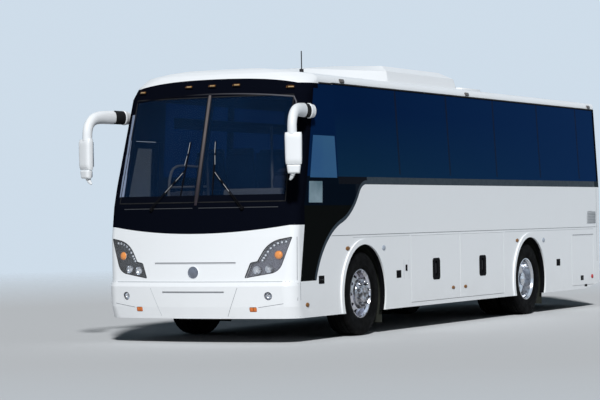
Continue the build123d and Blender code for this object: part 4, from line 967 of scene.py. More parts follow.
def add_wheels():
    for side, way in (("left", 1), ("right", -1)):
        front = Matrix.Translation((axle_front_x, 0, axle_height))
        rear = Matrix.Translation((axle_rear_x, 0, axle_height))
        single = tyre().placed((0, front_wheel_y, 0))
        twins = Shape().add(tyre().placed((0, rear_outer_y, 0)), tyre().placed((0, rear_inner_y, 0)))
        front_trim = front_wheel_trim().placed((0, front_wheel_y, 0))
        rear_trim = rear_wheel_trim().placed((0, rear_outer_y, 0))
        holes_shade = hand_hole_shade_ring().placed((0, front_wheel_y, 0))
        for name, shape, base, material, body, node in (
            ("front_tread_" + side, single, front, tyre_rubber, "front_wheel_", "front_tyre_" + side),
            ("rear_treads_" + side, twins, rear, tyre_rubber, "rear_wheels_", "rear_tyres_" + side),
            ("front_wheel_trim_" + side, front_trim, front, front_chrome, "front_wheel_", None),
            ("rear_wheel_trim_" + side, rear_trim, rear, chrome, "rear_wheels_", None),
            ("front_hand_holes_" + side, holes_shade, front, matt_black, "front_wheel_", None),
        ):
            made = shape if way > 0 else shape.mirrored()
            piece = add_piece(name, made.placed(base), material, body + side)
            if node:
                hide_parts(node)


# Head lamps
lamp_corners = (
    # y, z, corner radius of the left lamp's outline in front view
    (1.218, 1.243, 0.010),
    (0.939, 1.191, 0.320),
    (0.808, 0.961, 0.025),
    (0.725, 0.947, 0.040),
    (0.653, 0.762, 0.012),
    (1.075, 0.832, 0.170),
)
lamp_depth = 0.050
lamp_cells = ((1.140, 1.186), (1.045, 1.168), (0.960, 1.112), (0.900, 1.030), (0.862, 0.972))
cell_count = 9
projectors = ((0.800, 0.855, 0.050), (0.945, 0.872, 0.048))
turn_lamp = (1.055, 1.033, 0.046)
fog_lamp = (0.954, 0.557, 0.048)


def rounded_outline(corners, steps=6):
    """The points of an outline whose (u, v, radius) corners are rounded by arcs."""
    count = len(corners)
    points = []
    for index in range(count):
        before, here, after = (Vector(corners[(index + shift) % count][:2]) for shift in (-1, 0, 1))
        radius = corners[index][2]
        back = (before - here).normalized()
        forth = (after - here).normalized()
        half = back.angle(forth) / 2
        reach = radius / tan(half)
        start, end = here + back * reach, here + forth * reach
        centre = here + (back + forth).normalized() * (radius / sin(half))
        mid = centre + (here - centre).normalized() * radius
        points += arc_through(tuple(start), tuple(mid), tuple(end), steps)
    return points


def shrunk(outline, margin):
    """An outline moved inwards by a margin; its points run clockwise in the view."""
    count = len(outline)
    result = []
    for index in range(count):
        before, here, after = (Vector(outline[(index + shift) % count]) for shift in (-1, 0, 1))
        first = (here - before).normalized()
        second = (after - here).normalized()
        inward = Vector((first.y + second.y, -first.x - second.x)).normalized()
        size = margin / max(0.4, inward.dot(Vector((first.y, -first.x))))
        result.append(tuple(here + inward * size))
    return result


def clockwise(outline):
    area = sum(a[0] * b[1] - b[0] * a[1] for a, b in zip(outline, outline[1:] + outline[:1]))
    return outline if area < 0 else outline[::-1]


def cup(radius, depth):
    """A reflector bowl that opens along the Y axis, with a rolled rim."""
    inside = [(-depth * cos(step * pi / 16), radius * 0.92 * sin(step * pi / 16)) for step in range(9)]
    rim = [(0.002, radius * 0.94), (0.005, radius * 0.97), (0.003, radius), (-depth * 0.5, radius)]
    return lathe(inside + rim, 40)


def dome(radius, height):
    """A closed button with a round face along the Y axis."""
    curve = [(height * sin(step * pi / 12), radius * cos(step * pi / 12)) for step in range(7)]
    return lathe([(-0.006, 0), (-0.006, radius)] + curve, 32)


def add_head_lamps():
    outline = clockwise(rounded_outline(lamp_corners))
    lens = thick_sheet(on_front, shrunk(outline, 0.003), -0.001, 0.004, 0.06)
    bowl = tray(on_front, shrunk(outline, 0.004), -0.006, lamp_depth, 0.06)
    rim_line = [on_front(y, z, -0.001) for y, z in divided(shrunk(outline, 0.004), 0.03, True)]
    rim = bar_along(rim_line, strip_section(0.007, 0.002), True)
    cells, cups, bulbs = Shape(), Shape(), Shape()
    path = curve_through([(y, z, 0) for y, z in lamp_cells], 8)
    for number in range(cell_count):
        spot = path[int(number * (len(path) - 1) / (cell_count - 1) + 0.5)]
        place, normal = on_front(spot.x, spot.y, -0.030)
        cells.add(set_on(dome(0.0085, 0.007), (place, normal)))
        cups.add(set_on(cup(0.016, 0.012), (place, normal)))
    for y, z, radius in projectors:
        place, normal = on_front(y, z, -0.022)
        cups.add(set_on(cup(radius, 0.030), (place, normal)))
        bulbs.add(set_on(dome(radius * 0.52, 0.018), (place - normal * 0.022, normal)))
    y, z, radius = turn_lamp
    place, normal = on_front(y, z, -0.030)
    cups.add(set_on(cup(radius * 1.12, 0.016), (place, normal)))
    amber = set_on(dome(radius, 0.020), (place, normal))
    y, z, radius = fog_lamp
    place, normal = on_front(y, z, -0.010)
    fog_ring = lathe((
        (-0.030, radius * 0.80), (0.004, radius * 0.86), (0.008, radius * 0.92), (0.006, radius),
        (-0.030, radius),
    ), 40)
    bowl.add(set_on(fog_ring, (place, normal)))
    cups.add(set_on(cup(radius * 0.84, 0.022), (place - normal * 0.006, normal)))
    bulbs.add(set_on(dome(radius * 0.34, 0.012), (place - normal * 0.022, normal)))
    fog_glass = lathe(
        ((0, 0), (0, radius * 0.84), (0.004, radius * 0.84), (0.006, radius * 0.5), (0.007, 0)), 32)
    fog_lens = set_on(fog_glass, (place, normal))
    shown = add_pair("head_lamp_lenses", lens.add(fog_lens), lamp_lens)
    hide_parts("head_lamps")
    add_pair("head_lamp_bowls", bowl, side_shaded_chrome)
    add_pair("head_lamp_rims", rim, black_plastic)
    add_pair("head_lamp_reflectors", cups, chrome)
    add_pair("head_lamp_projectors", bulbs, projector_glass)
    add_pair("head_lamp_cells", cells, lamp_bulb)
    add_pair("turn_lamp_bulbs", amber, amber_lens)


# Mirrors
mirror_root_height = 2.708
mirror_root_y = 1.282
mirror_head_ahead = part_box("mirrors")[1].x - axle_front_x - 0.077
mirror_head_y = 1.396
mirror_head_top = 2.435
mirror_head_foot = 2.070
mirror_tail_top = 1.966
mirror_root_ahead = 1.440
mirror_turn = radians(20)
arm_path = (
    # metres ahead of the front axle, y, z, half height of the section, half thickness
    (1.628, 1.294, 2.708, 0.084, 0.050),
    (1.745, 1.316, 2.706, 0.081, 0.050),
    (1.873, 1.340, 2.700, 0.077, 0.051),
    (1.985, 1.358, 2.674, 0.072, 0.052),
    (2.058, 1.370, 2.614, 0.066, 0.053),
    (2.092, 1.376, 2.530, 0.062, 0.054),
    (2.097, 1.378, 2.415, 0.060, 0.055),
)


def swept_oval(rows, count=20, steps=5):
    """A tube through rows of (ahead, y, z, half height, half thickness)."""
    places = curve_through([(ahead(row[0]), row[1], row[2]) for row in rows], steps)
    sizes = curve_through([(row[3], row[4], 0) for row in rows], steps)
    over_head = Vector((-sin(mirror_turn), cos(mirror_turn), 0))
    vertices = []
    for index, place in enumerate(places):
        before = places[max(index - 1, 0)]
        after = places[min(index + 1, len(places) - 1)]
        way = (after - before).normalized()
        thin = Vector((-way.y, way.x, 0)) if abs(way.z) < 0.9 else over_head
        thin = (thin - way * thin.dot(way)).normalized()
        tall = way.cross(thin)
        high, wide = sizes[index].x, sizes[index].y
        vertices += [place + tall * u + thin * v for u, v in oval_section(high, wide, count)]
    return Shape(vertices, grid_faces(len(places), count) + end_caps(len(places), count))


def mirror_shell(depth, width, low, high, taper):
    """A head with an upright rounded-oblong section that swells in its middle; its glass side is flat."""
    rings, count = 16, 36
    vertices = []
    for ring in range(rings + 1):
        t = ring / rings
        edge = min(t, 1 - t) * 2
        swell = 1 - (1 - min(1, edge * 3.2)) ** 2 * 0.42
        narrow = 1 - taper * (1 - t)
        for step in range(count):
            u, v = squared(2 * pi * step / count, 0.55)
            x = u * depth / 2 * (swell if u > 0 else 1)
            y = v * width / 2 * (0.88 + 0.12 * swell)
            vertices.append((x * narrow, y * narrow, low + (high - low) * t))
    return Shape(vertices, grid_faces(rings + 1, count) + end_caps(rings + 1, count))


def add_mirrors():
    head_turn = Matrix.Rotation(mirror_turn, 4, "Z")
    head_place = Matrix.Translation((ahead(mirror_head_ahead), mirror_head_y, 0)) @ head_turn
    shells = Shape().add(
        swept_oval(arm_path),
        mirror_shell(0.108, 0.200, mirror_head_foot, mirror_head_top, 0.05).placed(head_place),
        mirror_shell(0.098, 0.164, mirror_tail_top, mirror_head_foot - 0.005, 0.16).placed(head_place),
        swept_oval(((2.094, 1.380, 1.975, 0.034, 0.030), (2.092, 1.372, 1.950, 0.030, 0.026),
                    (2.088, 1.352, 1.915, 0.020, 0.018), (2.084, 1.334, 1.896, 0.012, 0.011))),
    )
    collar = lathe((
        (-0.030, 0.056), (-0.030, 0.084), (-0.022, 0.089), (0.014, 0.089), (0.020, 0.082), (0.020, 0.050),
    ), 40)
    foot = lathe(((-0.100, 0.078), (-0.030, 0.082), (-0.030, 0.04)), 40)
    upright = Matrix.Translation((ahead(mirror_root_ahead), mirror_root_y - 0.016, mirror_root_height))
    lay_down = Matrix.Rotation(radians(-90), 4, "Z") @ Matrix.Diagonal((0.62, 1, 1.0, 1))
    shells.add(collar.placed(upright @ lay_down), foot.placed(upright @ lay_down))
    waves = []
    for wave in range(7):
        start = 0.018 + wave * 0.028
        waves += [(start, 0.073), (start + 0.008, 0.083), (start + 0.016, 0.083), (start + 0.024, 0.073)]
    bellows = lathe(waves, 36).placed(upright @ lay_down)
    glass = Shape()
    for low, high, width in ((mirror_head_foot + 0.035, mirror_head_top - 0.035, 0.160),
                             (mirror_tail_top + 0.014, mirror_head_foot - 0.018, 0.112)):
        pane = box_at((-0.003, -width / 2, low), (0.004, width / 2, high), 0.003)
        depth = 0.054 if width > 0.15 else 0.049
        glass.add(pane.placed(head_place @ Matrix.Translation((-depth - 0.001, 0, 0))))
    piece = add_pair("mirror_shells", shells, white_paint, sharp=50)
    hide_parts("mirrors")
    add_pair("mirror_bellows", bellows, seal_rubber, sharp=60)
    add_pair("mirror_glasses", glass, mirror_glass)


# Windscreen trim and wipers
screen_low = 1.656
screen_high = 2.908
screen_side_low = 1.120
screen_side_high = 1.065
divider_width = 0.032
# Places and widths of the painted reflection strip on the right windscreen pillar
sheen_places = ((-1.108, 1.738), (-1.106, 2.000), (-1.104, 2.250), (-1.102, 2.500), (-1.100, 2.735))
sheen_widths = (0.068, 0.058, 0.048, 0.038)


def add_windscreen_trim():
    divider = trim_along(on_front, ((0, 1.620), (0, 2.930)), divider_width, 0.010, 0.1)
    add_piece("windscreen_divider", divider, satin_trim)
    head = arc_through((-1.070, 2.885), (0, 2.944), (1.070, 2.885), 30)
    line = head + [(1.105, 2.820), (1.110, 2.760)]
    # The head strip's dark-to-pale run is a painted reflection
    add_piece("windscreen_strip", trim_along(on_front, line, 0.018, 0.006, 0.05), head_trim)
    sheen = [(on_front, (low, high), width, 0.003, 0.05)
             for low, high, width in zip(sheen_places[:-1], sheen_places[1:], sheen_widths)]
    add_piece("pillar_sheen_right", joined(trim_along, sheen), pillar_reflection)
    band = thick_sheet(
        on_front, [(0.016, 1.650), (0.016, 1.737), (1.118, 1.737), (1.122, 1.650)], 0.0022, 0.0020, 0.08)
    add_pair("windscreen_foot_band", band, black_panel)
    seam = trim_along(on_front, [(0.04 + step * 0.05, 1.589) for step in range(21)], 0.008, 0.0006, 0.05)
    add_pair("windscreen_foot_seams", seam, rack_grey)
    outline = [(0.020, screen_low), (screen_side_low, screen_low), (screen_side_high, screen_high),
               (0.020, screen_high)]
    add_pair("windscreen_seals", trim_along(on_front, outline, 0.014, 0.004, 0.06, closed=True), seal_rubber)


wiper_pivot = (0.610, 1.580)
wiper_joint = (0.192, 2.030)
wiper_blade = ((0.215, 1.740), (0.170, 2.370))
wiper_yoke_heights = (1.85, 1.94, 2.03, 2.12, 2.21)
# Pale bars on the wiper blades and arms: painted highlights
wiper_glint_lines = (
    ((0.181, 2.230), (0.170, 2.360)),
    ((0.205, 2.090), (0.188, 2.200)),
    ((0.300, 1.905), (0.215, 2.000)),
    ((0.430, 1.770), (0.345, 1.860)),
)


def add_wipers():
    lift = 0.026
    arm = Shape()
    for shift in (-0.014, 0.014):
        line = [(wiper_pivot[0] + shift, wiper_pivot[1]), (wiper_joint[0] + shift * 0.2, wiper_joint[1])]
        rod = [on_front(y, z, lift) for y, z in divided(line, 0.05)]
        arm.add(bar_along(rod, oval_section(0.005, 0.004, 8)))
    blade = [on_front(y, z, lift - 0.014) for y, z in divided(list(wiper_blade), 0.04)]
    arm.add(bar_along(blade, (
        (-0.003, -0.008), (-0.006, 0.004), (-0.004, 0.010), (0.004, 0.010), (0.006, 0.004), (0.003, -0.008))))
    y, middle_z = wiper_joint
    yoke = [on_front(y + (middle_z - z) * 0.07, z, lift - 0.002) for z in wiper_yoke_heights]
    arm.add(bar_along(yoke, ((-0.004, -0.003), (-0.004, 0.004), (0.004, 0.004), (0.004, -0.003))))
    boss = lathe(((-0.026, 0.022), (0.002, 0.022), (0.006, 0.018), (0.010, 0.014), (0.012, 0)), 24)
    arm.add(set_on(boss, on_front(*wiper_pivot, 0.024)))
    piece = add_pair("wiper_arms", arm, matt_black)
    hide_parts("wipers")
    glints = Shape()
    for points in wiper_glint_lines:
        line = [on_front(y, z, lift + 0.0045) for y, z in divided(list(points), 0.03)]
        glints.add(bar_along(line, oval_section(0.0028, 0.0022, 8)))
    add_pair("wiper_glints", glints, pale_trim_and_glints)


# Trim on the sides; places are (metres ahead of the front axle, height)
tail = tail_x - axle_front_x
swoosh_arcs = (
    ((1.308, 0.718), (1.054, 1.118), (0.640, 1.376)),
    ((0.640, 1.376), (0.285, 1.550), (0.100, 1.745)),
    ((0.100, 1.745), (0.010, 1.828), (-0.130, 1.855)),
)
band_height = 1.900
band_width = 0.089
band_front = -0.13
dark_band_front = 0.656
# A black rubber strip under the roof's edge: its black is painted shade in the gap between roof and glass
roof_gap_shade_line = ((tail + 0.20, 3.066), (0.66, 3.066), (0.74, 3.058), (1.04, 3.057))
pane_seams = (-1.13, -2.76, -4.42, -6.12, -7.78)
pane_seal_offset = 0.012
seam_height = 0.0006
side_seams = (
    # two ends, width, longest step
    ((tail + 0.28, 1.238), (0.86, 1.238), 0.011, 0.3),
    ((0.578, 3.085), (0.578, 3.160), 0.010, 0.04),
    ((-7.42, 1.121), (-8.35, 1.121), 0.012, 0.2),
    ((1.790, 0.310), (1.776, 0.700), 0.007, 0.2),
    ((1.774, 0.735), (1.770, 1.240), 0.007, 0.2),
    ((1.722, 0.310), (1.722, 0.712), 0.007, 0.2),
    ((tail + 0.24, 0.70), (tail + 0.24, 1.84), 0.007, 0.2),
)
side_faint_seams = (
    # two ends, width, longest step
    ((-1.19, 0.90), (-1.19, 0.65), 0.005, 0.2),
    ((-1.34, 0.90), (-1.34, 0.65), 0.005, 0.2),
    ((-8.35, 1.206), (-4.66, 1.206), 0.005, 0.2),
    ((-1.38, 1.206), (0.30, 1.206), 0.005, 0.2),
)
low_pane = ((1.120, 1.634), (1.470, 1.634), (1.452, 1.886), (1.108, 1.886))
side_pads = (
    # ahead, height, length, size upwards, half thickness, bevel
    (1.174, 0.722, 0.145, 0.096, 0.004, 0.003),
    (-1.029, 0.723, 0.140, 0.096, 0.004, 0.003),
    (-6.785, 0.724, 0.150, 0.100, 0.004, 0.003),
    (-1.266, 0.796, 0.056, 0.080, 0.004, 0.003),
    (-7.815, 0.460, 0.120, 0.072, 0.004, 0.003),
    (-7.979, 0.340, 0.110, 0.034, 0.004, 0.003),
)
side_latches = (
    (-7.815, 0.462, 0.050, 0.030, 0.009, 0.004),
    (1.174, 0.722, 0.110, 0.010, 0.006, 0.003),
)
oval_markers = (
    # ahead, height, length, size upwards
    (0.447, 1.076, 0.118, 0.054),
    (-5.130, 1.078, 0.118, 0.054),
    (1.550, 0.441, 0.094, 0.054),
)
round_markers = ((-0.586, 1.064, 0.102, 0.068), (-6.177, 1.068, 0.102, 0.068))
red_marker = (-8.274, 0.471, 0.100, 0.066)
roof_lamp_places = (0.406, -3.510, -8.400)
roof_lamp_height = 3.104
louvre_middle = (-7.90, 1.386)
louvre_ends = (-8.462, -8.062)
louvre_count = 7
liner_radius = 0.6032
liner_y = 1.233


def swoosh_line(inset):
    """The lower edge of the black quarter panel as (x, z), moved into the panel."""
    points = []
    for start, mid, end in swoosh_arcs:
        points += arc_through(start, mid, end, 12)[:-1]
    points.append(swoosh_arcs[-1][2])
    moved = []
    for index, point in enumerate(points):
        before, after = points[max(index - 1, 0)], points[min(index + 1, len(points) - 1)]
        way = (Vector(after) - Vector(before)).normalized()
        moved.append((ahead(point[0] + way.y * inset), point[1] - way.x * inset))
    return moved


def side_strip(start, end, width, step, height=seam_height):
    """A flat strip on the left side between two places."""
    return trim_along(on_side, [(ahead(a), z) for a, z in (start, end)], width, height, step)


def side_block(a, z, length, height, depth, bevel):
    """A small bevelled block on the left side."""
    return block_on(on_side, ahead(a), z, (length, 2 * depth, height), bevel)


def oval_lens(a, z, length, height):
    """A low oval lens on the left side."""
    return set_on(dome(0.5, 0.014).placed(Matrix.Diagonal((length, 1, height, 1))), on_side(ahead(a), z))


def louvre():
    """A plate with a row of slats."""
    face = on_side(ahead(louvre_middle[0]), louvre_middle[1])[0].y
    rear, front = (ahead(a) for a in louvre_ends)
    slats = Shape().add(box_at((rear, face - 0.004, 1.294), (front, face + 0.006, 1.478), 0.003))
    rear, front = rear + 0.015, front - 0.015
    for step in range(louvre_count):
        foot = 1.304 + step * 0.0245
        slats.add(box_at((rear, face + 0.003, foot), (front, face + 0.012, foot + 0.014), 0.004))
    return slats


def arch_liner(axle_x):
    """A thin dark band inside a wheel arch."""
    points = []
    for step in range(61):
        angle = radians(-21.5 + 223 * step / 60)
        way = Vector((cos(angle), 0, sin(angle)))
        points.append((Vector((axle_x, liner_y, axle_height)) + way * liner_radius, -way))
    return bar_along(points, ((-0.030, -0.0006), (-0.030, 0.0010), (0.030, 0.0010), (0.030, -0.0006)))


def add_side_trim():
    edging = trim_along(on_side, swoosh_line(0.024), 0.046, 0.0015, 0.04)
    band = side_strip((tail + 0.02, band_height), (band_front, band_height), band_width, 0.3, 0.0012)
    dark_band = side_strip(
        (band_front, band_height), (dark_band_front, band_height), band_width, 0.1, 0.0012)
    shaded_gap = trim_along(on_side, [(ahead(a), z) for a, z in roof_gap_shade_line], 0.018, 0.010, 0.3)
    seals = [((a + edge, 1.985), (a + edge, 3.045), 0.012, 0.2)
             for a in pane_seams for edge in (-pane_seal_offset, pane_seal_offset)]
    roof_lamps = [(on_side, ahead(a), roof_lamp_height, (0.115, 0.030, 0.046), 0.010, 0.004)
                  for a in roof_lamp_places]
    # A sheet over the lower driver's pane that carries its painted reflections
    film = thick_sheet(on_side, [(ahead(a), z) for a, z in low_pane], 0.0012, 0.0010, 0.08)
    for name, shape, material in (
        ("quarter_edging", edging.add(band).both_sides(), band_grey),
        ("quarter_band", dark_band.both_sides(), black_panel),
        ("roof_gap_shade_strips", shaded_gap.both_sides(), seal_rubber),
        ("pane_seals", pairs(side_strip, seals), matt_black),
        ("side_seams", pairs(side_strip, side_seams), seam_grey),
        ("side_faint_seams", pairs(side_strip, side_faint_seams), faint_seam),
        ("low_pane_film", film, low_glass),
        ("side_pads", pairs(side_block, side_pads), matt_black),
        ("side_latches", pairs(side_block, side_latches), black_plastic),
        ("side_marker_lenses", pairs(oval_lens, oval_markers), dim_amber),
        ("side_marker_dots", pairs(oval_lens, round_markers), dot_grey),
        ("side_red_markers", pairs(oval_lens, [red_marker]), red_lens),
        ("roof_edge_lamps", pairs(block_on, roof_lamps), dark_lamp),
        ("side_louvres", louvre().both_sides(), faint_seam),
        ("arch_liners", pairs(arch_liner, [[axle_front_x], [axle_rear_x]]), matt_black),
    ):
        add_piece(name, shape, material)


# Luggage flaps: a black pocket with its handle bar, and a small amber marker on each
flap_pockets = (
    # flap, middle of the pocket ahead of the front axle, marker ahead of the front axle
    ("luggage_flap_front", -2.2225, -2.780),
    ("luggage_flap_rear", -3.820, -3.200),
)
pocket_foot = 0.655
pocket_size = (0.064, 0.205)
pocket_depth = 0.026
pocket_plate_size = (0.244, 0.284)


def oblong(centre, size, radius):
    """The outline of a rounded oblong about a centre."""
    return rounded_outline([
        (centre[0] + u * size[0] / 2, centre[1] + v * size[1] / 2, radius)
        for u, v in ((-1, -1), (1, -1), (1, 1), (-1, 1))])


def side_rings(levels):
    """A wall through outlines of (x, z), each at its own Y."""
    vertices = [(u, y, v) for ring, y in levels for u, v in ring]
    return Shape(vertices, grid_faces(len(levels), len(levels[0][0])))


def flap_pocket(a):
    """A flap's pocket with its floor and wall, and the thin black plate round it."""
    x, z = ahead(a), pocket_foot + pocket_size[1] / 2
    length, height = pocket_size[0] - 0.002, pocket_size[1] - 0.002
    back = half_body - pocket_depth
    face, edge = half_body + 0.0022, half_body - 0.0005
    inner = oblong((x, z), (length, height), 0.016)
    outer = oblong((x, z), pocket_plate_size, 0.044)
    low = (x - length / 2, back + 0.0004, z - height / 2)
    high = (x + length / 2, back + 0.004, z + height / 2)
    wall = side_rings([(inner, back + 0.001), (inner, half_body + 0.0012)])
    plate = side_rings([(inner, half_body - 0.002), (inner, face), (outer, face), (outer, edge)])
    return box_at(low, high, 0.001).add(wall, plate)


def add_flap_trim():
    for flap, a, marker in flap_pockets:
        pocket = flap_pocket(a)
        lever = box_at((ahead(a) - 0.014, half_body - 0.020, pocket_foot + 0.045),
                       (ahead(a) + 0.014, half_body - 0.006, pocket_foot + 0.175), 0.005)
        dot = oval_lens(marker, 0.491, 0.108, 0.046)
        for side in ("left", "right"):
            for name, shape, material in (
                ("pocket", pocket, matt_black), ("lever", lever, black_plastic), ("marker", dot, dim_amber),
            ):
                made = shape if side == "left" else shape.mirrored()
                add_piece(f"{flap}_{name}_{side}", made, material, f"{flap}_{side}")


# Front: grey troughs in the slots as painted shade, seams, the plain boss, lower lamps and roof markers
slots = (
    # half length, low edge, high edge
    (0.541, 0.930, 0.952),
    (0.411, 0.593, 0.613),
)
boss_height = 0.835
low_amber_places = ((0.743, 0.401), (0.787, 0.401))
roof_markers = ((0.012, 3.043), (0.336, 3.043), (-0.312, 3.043), (1.020, 2.999), (-0.996, 3.003))


def slot_shade_trough(half, low, high):
    """A shallow grey trough inside one of the front's slots; its grey is painted shade in the white recess.
    """
    steps = 24
    rows = []
    for step in range(steps + 1):
        y = half * (2 * step / steps - 1)
        edge = on_front(y, low - 0.012)[0].x
        rows.append([Vector((edge - back, y, z)) for back, z in (
            (0.003, low + 0.0005), (0.014, low + 0.002), (0.014, high - 0.002), (0.003, high - 0.0005))])
    places = [place for row in rows for place in row]
    return Shape(places, grid_faces(steps + 1, 4, round_columns=False))


def add_front_trim():
    add_piece("shaded_slot_troughs", joined(slot_shade_trough, slots), slot_shade_and_plate_grey)
    place, normal = on_front(0, boss_height)
    boss = lathe(((-0.004, 0.069), (0.0030, 0.069), (0.0050, 0.067), (0.0050, 0.060), (0.0030, 0.058),
                  (0.0034, 0.050), (0.0075, 0.020), (0.0082, 0)), 64)
    add_piece("front_boss", set_on(boss, (place, normal)), boss_silver)
    seams, faint = Shape(), Shape()
    for side, slanted in ((-1, faint), (1, seams)):
        slanted.add(trim_along(on_front, [(side * 0.600, 0.690), (side * 0.445, 0.320)], 0.005, 0.0005, 0.04))
        seams.add(trim_along(on_front, [(side * 0.830, 0.424), (side * 1.130, 0.468)], 0.006, 0.0005, 0.04))
    bumper_seam = [(step * 0.041, 0.7235) for step in range(-30, 31)]
    faint.add(trim_along(on_front, bumper_seam, 0.010, 0.0005, 0.05))
    add_piece("front_seams", seams, seam_grey)
    add_piece("front_faint_seams", faint, faint_seam)
    cells = [(on_front, y, z, (0.040, 0.020, 0.048), 0.008, -0.002) for y, z in low_amber_places]
    add_piece("low_amber_cells", pairs(block_on, cells), low_amber)
    bezels, low, high = Shape(), Shape(), Shape()
    for y, z in roof_markers:
        spot = on_front(y, z)
        bezels.add(set_on(rounded_box((0.104, 0.010, 0.044), 0.004), spot))
        low.add(set_on(rounded_box((0.080, 0.026, 0.026), 0.008), spot))
        # A pale bar on each roof marker: a painted highlight
        high.add(set_on(rounded_box((0.062, 0.030, 0.010), 0.004).placed((0, 0, -0.004)), spot))
    add_piece("roof_marker_bezels", bezels, matt_black)
    add_piece("roof_marker_lenses", low, dim_amber)
    add_piece("roof_marker_glints", high, amber_glint)


def inner_box(low, high, bevel):
    """A bevelled box between two corners of (metres ahead of the front axle, y, z)."""
    return box_at((ahead(low[0]), *low[1:]), (ahead(high[0]), *high[1:]), bevel)


# Rear wall and roof: lamp segments, handle, blank plate, seams, hatch and pod details
rear_lamp_y = 1.090
rear_lamp_column = 0.042
rear_lamp_size = (0.076, 0.120, 0.0022)
rear_lamps = (
    # piece, material, heights of its segments
    ("tail_lamp_red", red_lens, (1.070, 1.490)),
    ("tail_lamp_amber", amber_lens, (1.350,)),
    ("tail_lamp_clear", lamp_bulb, (1.210,)),
)
rear_lamp_bezels = (
    # y, z, width, height, half thickness
    (rear_lamp_y, 1.137, 0.176, 0.010, 0.0025),
    (rear_lamp_y, 1.277, 0.176, 0.010, 0.0025),
    (rear_lamp_y, 1.417, 0.176, 0.010, 0.0025),
    (rear_lamp_y, 1.280, 0.008, 0.550, 0.0025),
)
door_handle = (0, 0.760, 0.180, 0.050, 0.0024)
plate_blank = (0, 0.480, 0.320, 0.165, 0.0024)
low_reflector = (1.120, 0.440, 0.120, 0.050, 0.0024)
high_reflector = (0, 2.975, 0.420, 0.036, 0.0024)
cross_seams = (0.62, -4.35, -6.85, -8.30)
long_seam_y = 0.80
long_seam_ends = (-8.6, -4.0)
hatch_boxes = (
    ((-6.05, -0.36, 3.262), (-5.35, 0.36, 3.312), 0.018),
    ((-5.98, -0.29, 3.300), (-5.42, 0.29, 3.322), 0.008),
)
grille_places = ((-2.35, -0.42), (-2.35, 0.42), (-3.15, -0.42), (-3.15, 0.42))
grille_ring_radius = 0.262
grille_ring_pitch = 0.034
grille_ring_count = 7


def rear_block(y, z, width, height, depth, bevel=0.002):
    """A small bevelled block on the rear."""
    return block_on(on_rear, y, z, (width, 2 * depth, height), bevel)


def pod_grille(a, y):
    """A round grille of rings on the roof pod."""
    outline = [(-0.004, 0.300), (0.006, 0.300), (0.008, 0.288), (0.002, 0.280)]
    for ring in range(grille_ring_count):
        radius = grille_ring_radius - ring * grille_ring_pitch
        outline += [(0.006, radius), (0.006, radius - 0.010), (0.001, radius - 0.014)]
    place = Matrix.Translation(on_roof(ahead(a), y)[0])
    return lathe(outline + [(0.001, 0)], 48).placed(place @ Matrix.Rotation(pi / 2, 4, "X"))


def add_rear_trim():
    add_piece("tail_lamp_bezels", pairs(rear_block, rear_lamp_bezels), black_plastic)
    for name, material, heights in rear_lamps:
        segments = [(rear_lamp_y + side * rear_lamp_column, z, *rear_lamp_size)
                    for z in heights for side in (-1, 1)]
        add_piece(name, pairs(rear_block, segments), material)
    add_piece("engine_door_handle", rear_block(*door_handle), matt_black, "engine_door")
    add_piece("rear_plate_blank", rear_block(*plate_blank), slot_shade_and_plate_grey)
    marks = rear_block(*low_reflector).both_sides()
    add_piece("rear_reflectors", marks.add(rear_block(*high_reflector)), red_lens)


def add_roof_trim():
    seams = Shape()
    for a in cross_seams:
        line = [(ahead(a), y * 0.06) for y in range(-19, 20)]
        seams.add(trim_along(on_roof, line, 0.010, seam_height, 0.1))
    for y in (-long_seam_y, long_seam_y):
        line = [(ahead(a), y) for a in long_seam_ends]
        seams.add(trim_along(on_roof, line, 0.008, seam_height, 0.4))
    add_piece("roof_seams", seams, faint_seam)
    add_piece("roof_hatch", joined(inner_box, hatch_boxes), pod_paint)
    add_piece("pod_grilles", joined(pod_grille, grille_places), seam_grey)


# Inside: cushions, backs, legs, armrests, grab rails, low walls, dashboard and steering wheel
row_pitch = 0.800
row_count = 11
first_row_front = 0.330
seat_places = (0.520, 0.950)
seat_width = 0.405
armrest_places = (0.308, 0.735, 1.160)
leg_place = 0.735
driver_seat = (1.325, 0.700)
driver_seat_width = 0.450
platform_top = 0.950
back_lean = radians(11)
seat_pads = (
    # piece, share of the seat's width, length, thickness, crown, way behind the seat's front, height, lean
    ("seat_cushions", 1, 0.405, 0.085, 0.012, 0.220, 0.405, radians(2)),
    ("seat_backs", 1, 0.560, 0.062, 0.010, 0.484, 0.745, pi / 2 + back_lean),
    ("seat_headrests", 0.86, 0.150, 0.052, 0.004, 0.545, 1.035, pi / 2 + back_lean),
)
# Boxes of a seat's frame: rear and front end behind the seat's front, half width, foot, top, bevel
armrest = (0.360, 0.080, 0.012, 0.575, 0.605, 0.008)
armrest_post = (0.390, 0.350, 0.010, 0.350, 0.600, 0.006)
seat_leg = (0.340, 0.140, 0.045, 0.0005, 0.350, 0.012)
driver_leg = (0.340, 0.140, 0.100, 0.0005, 0.350, 0.015)


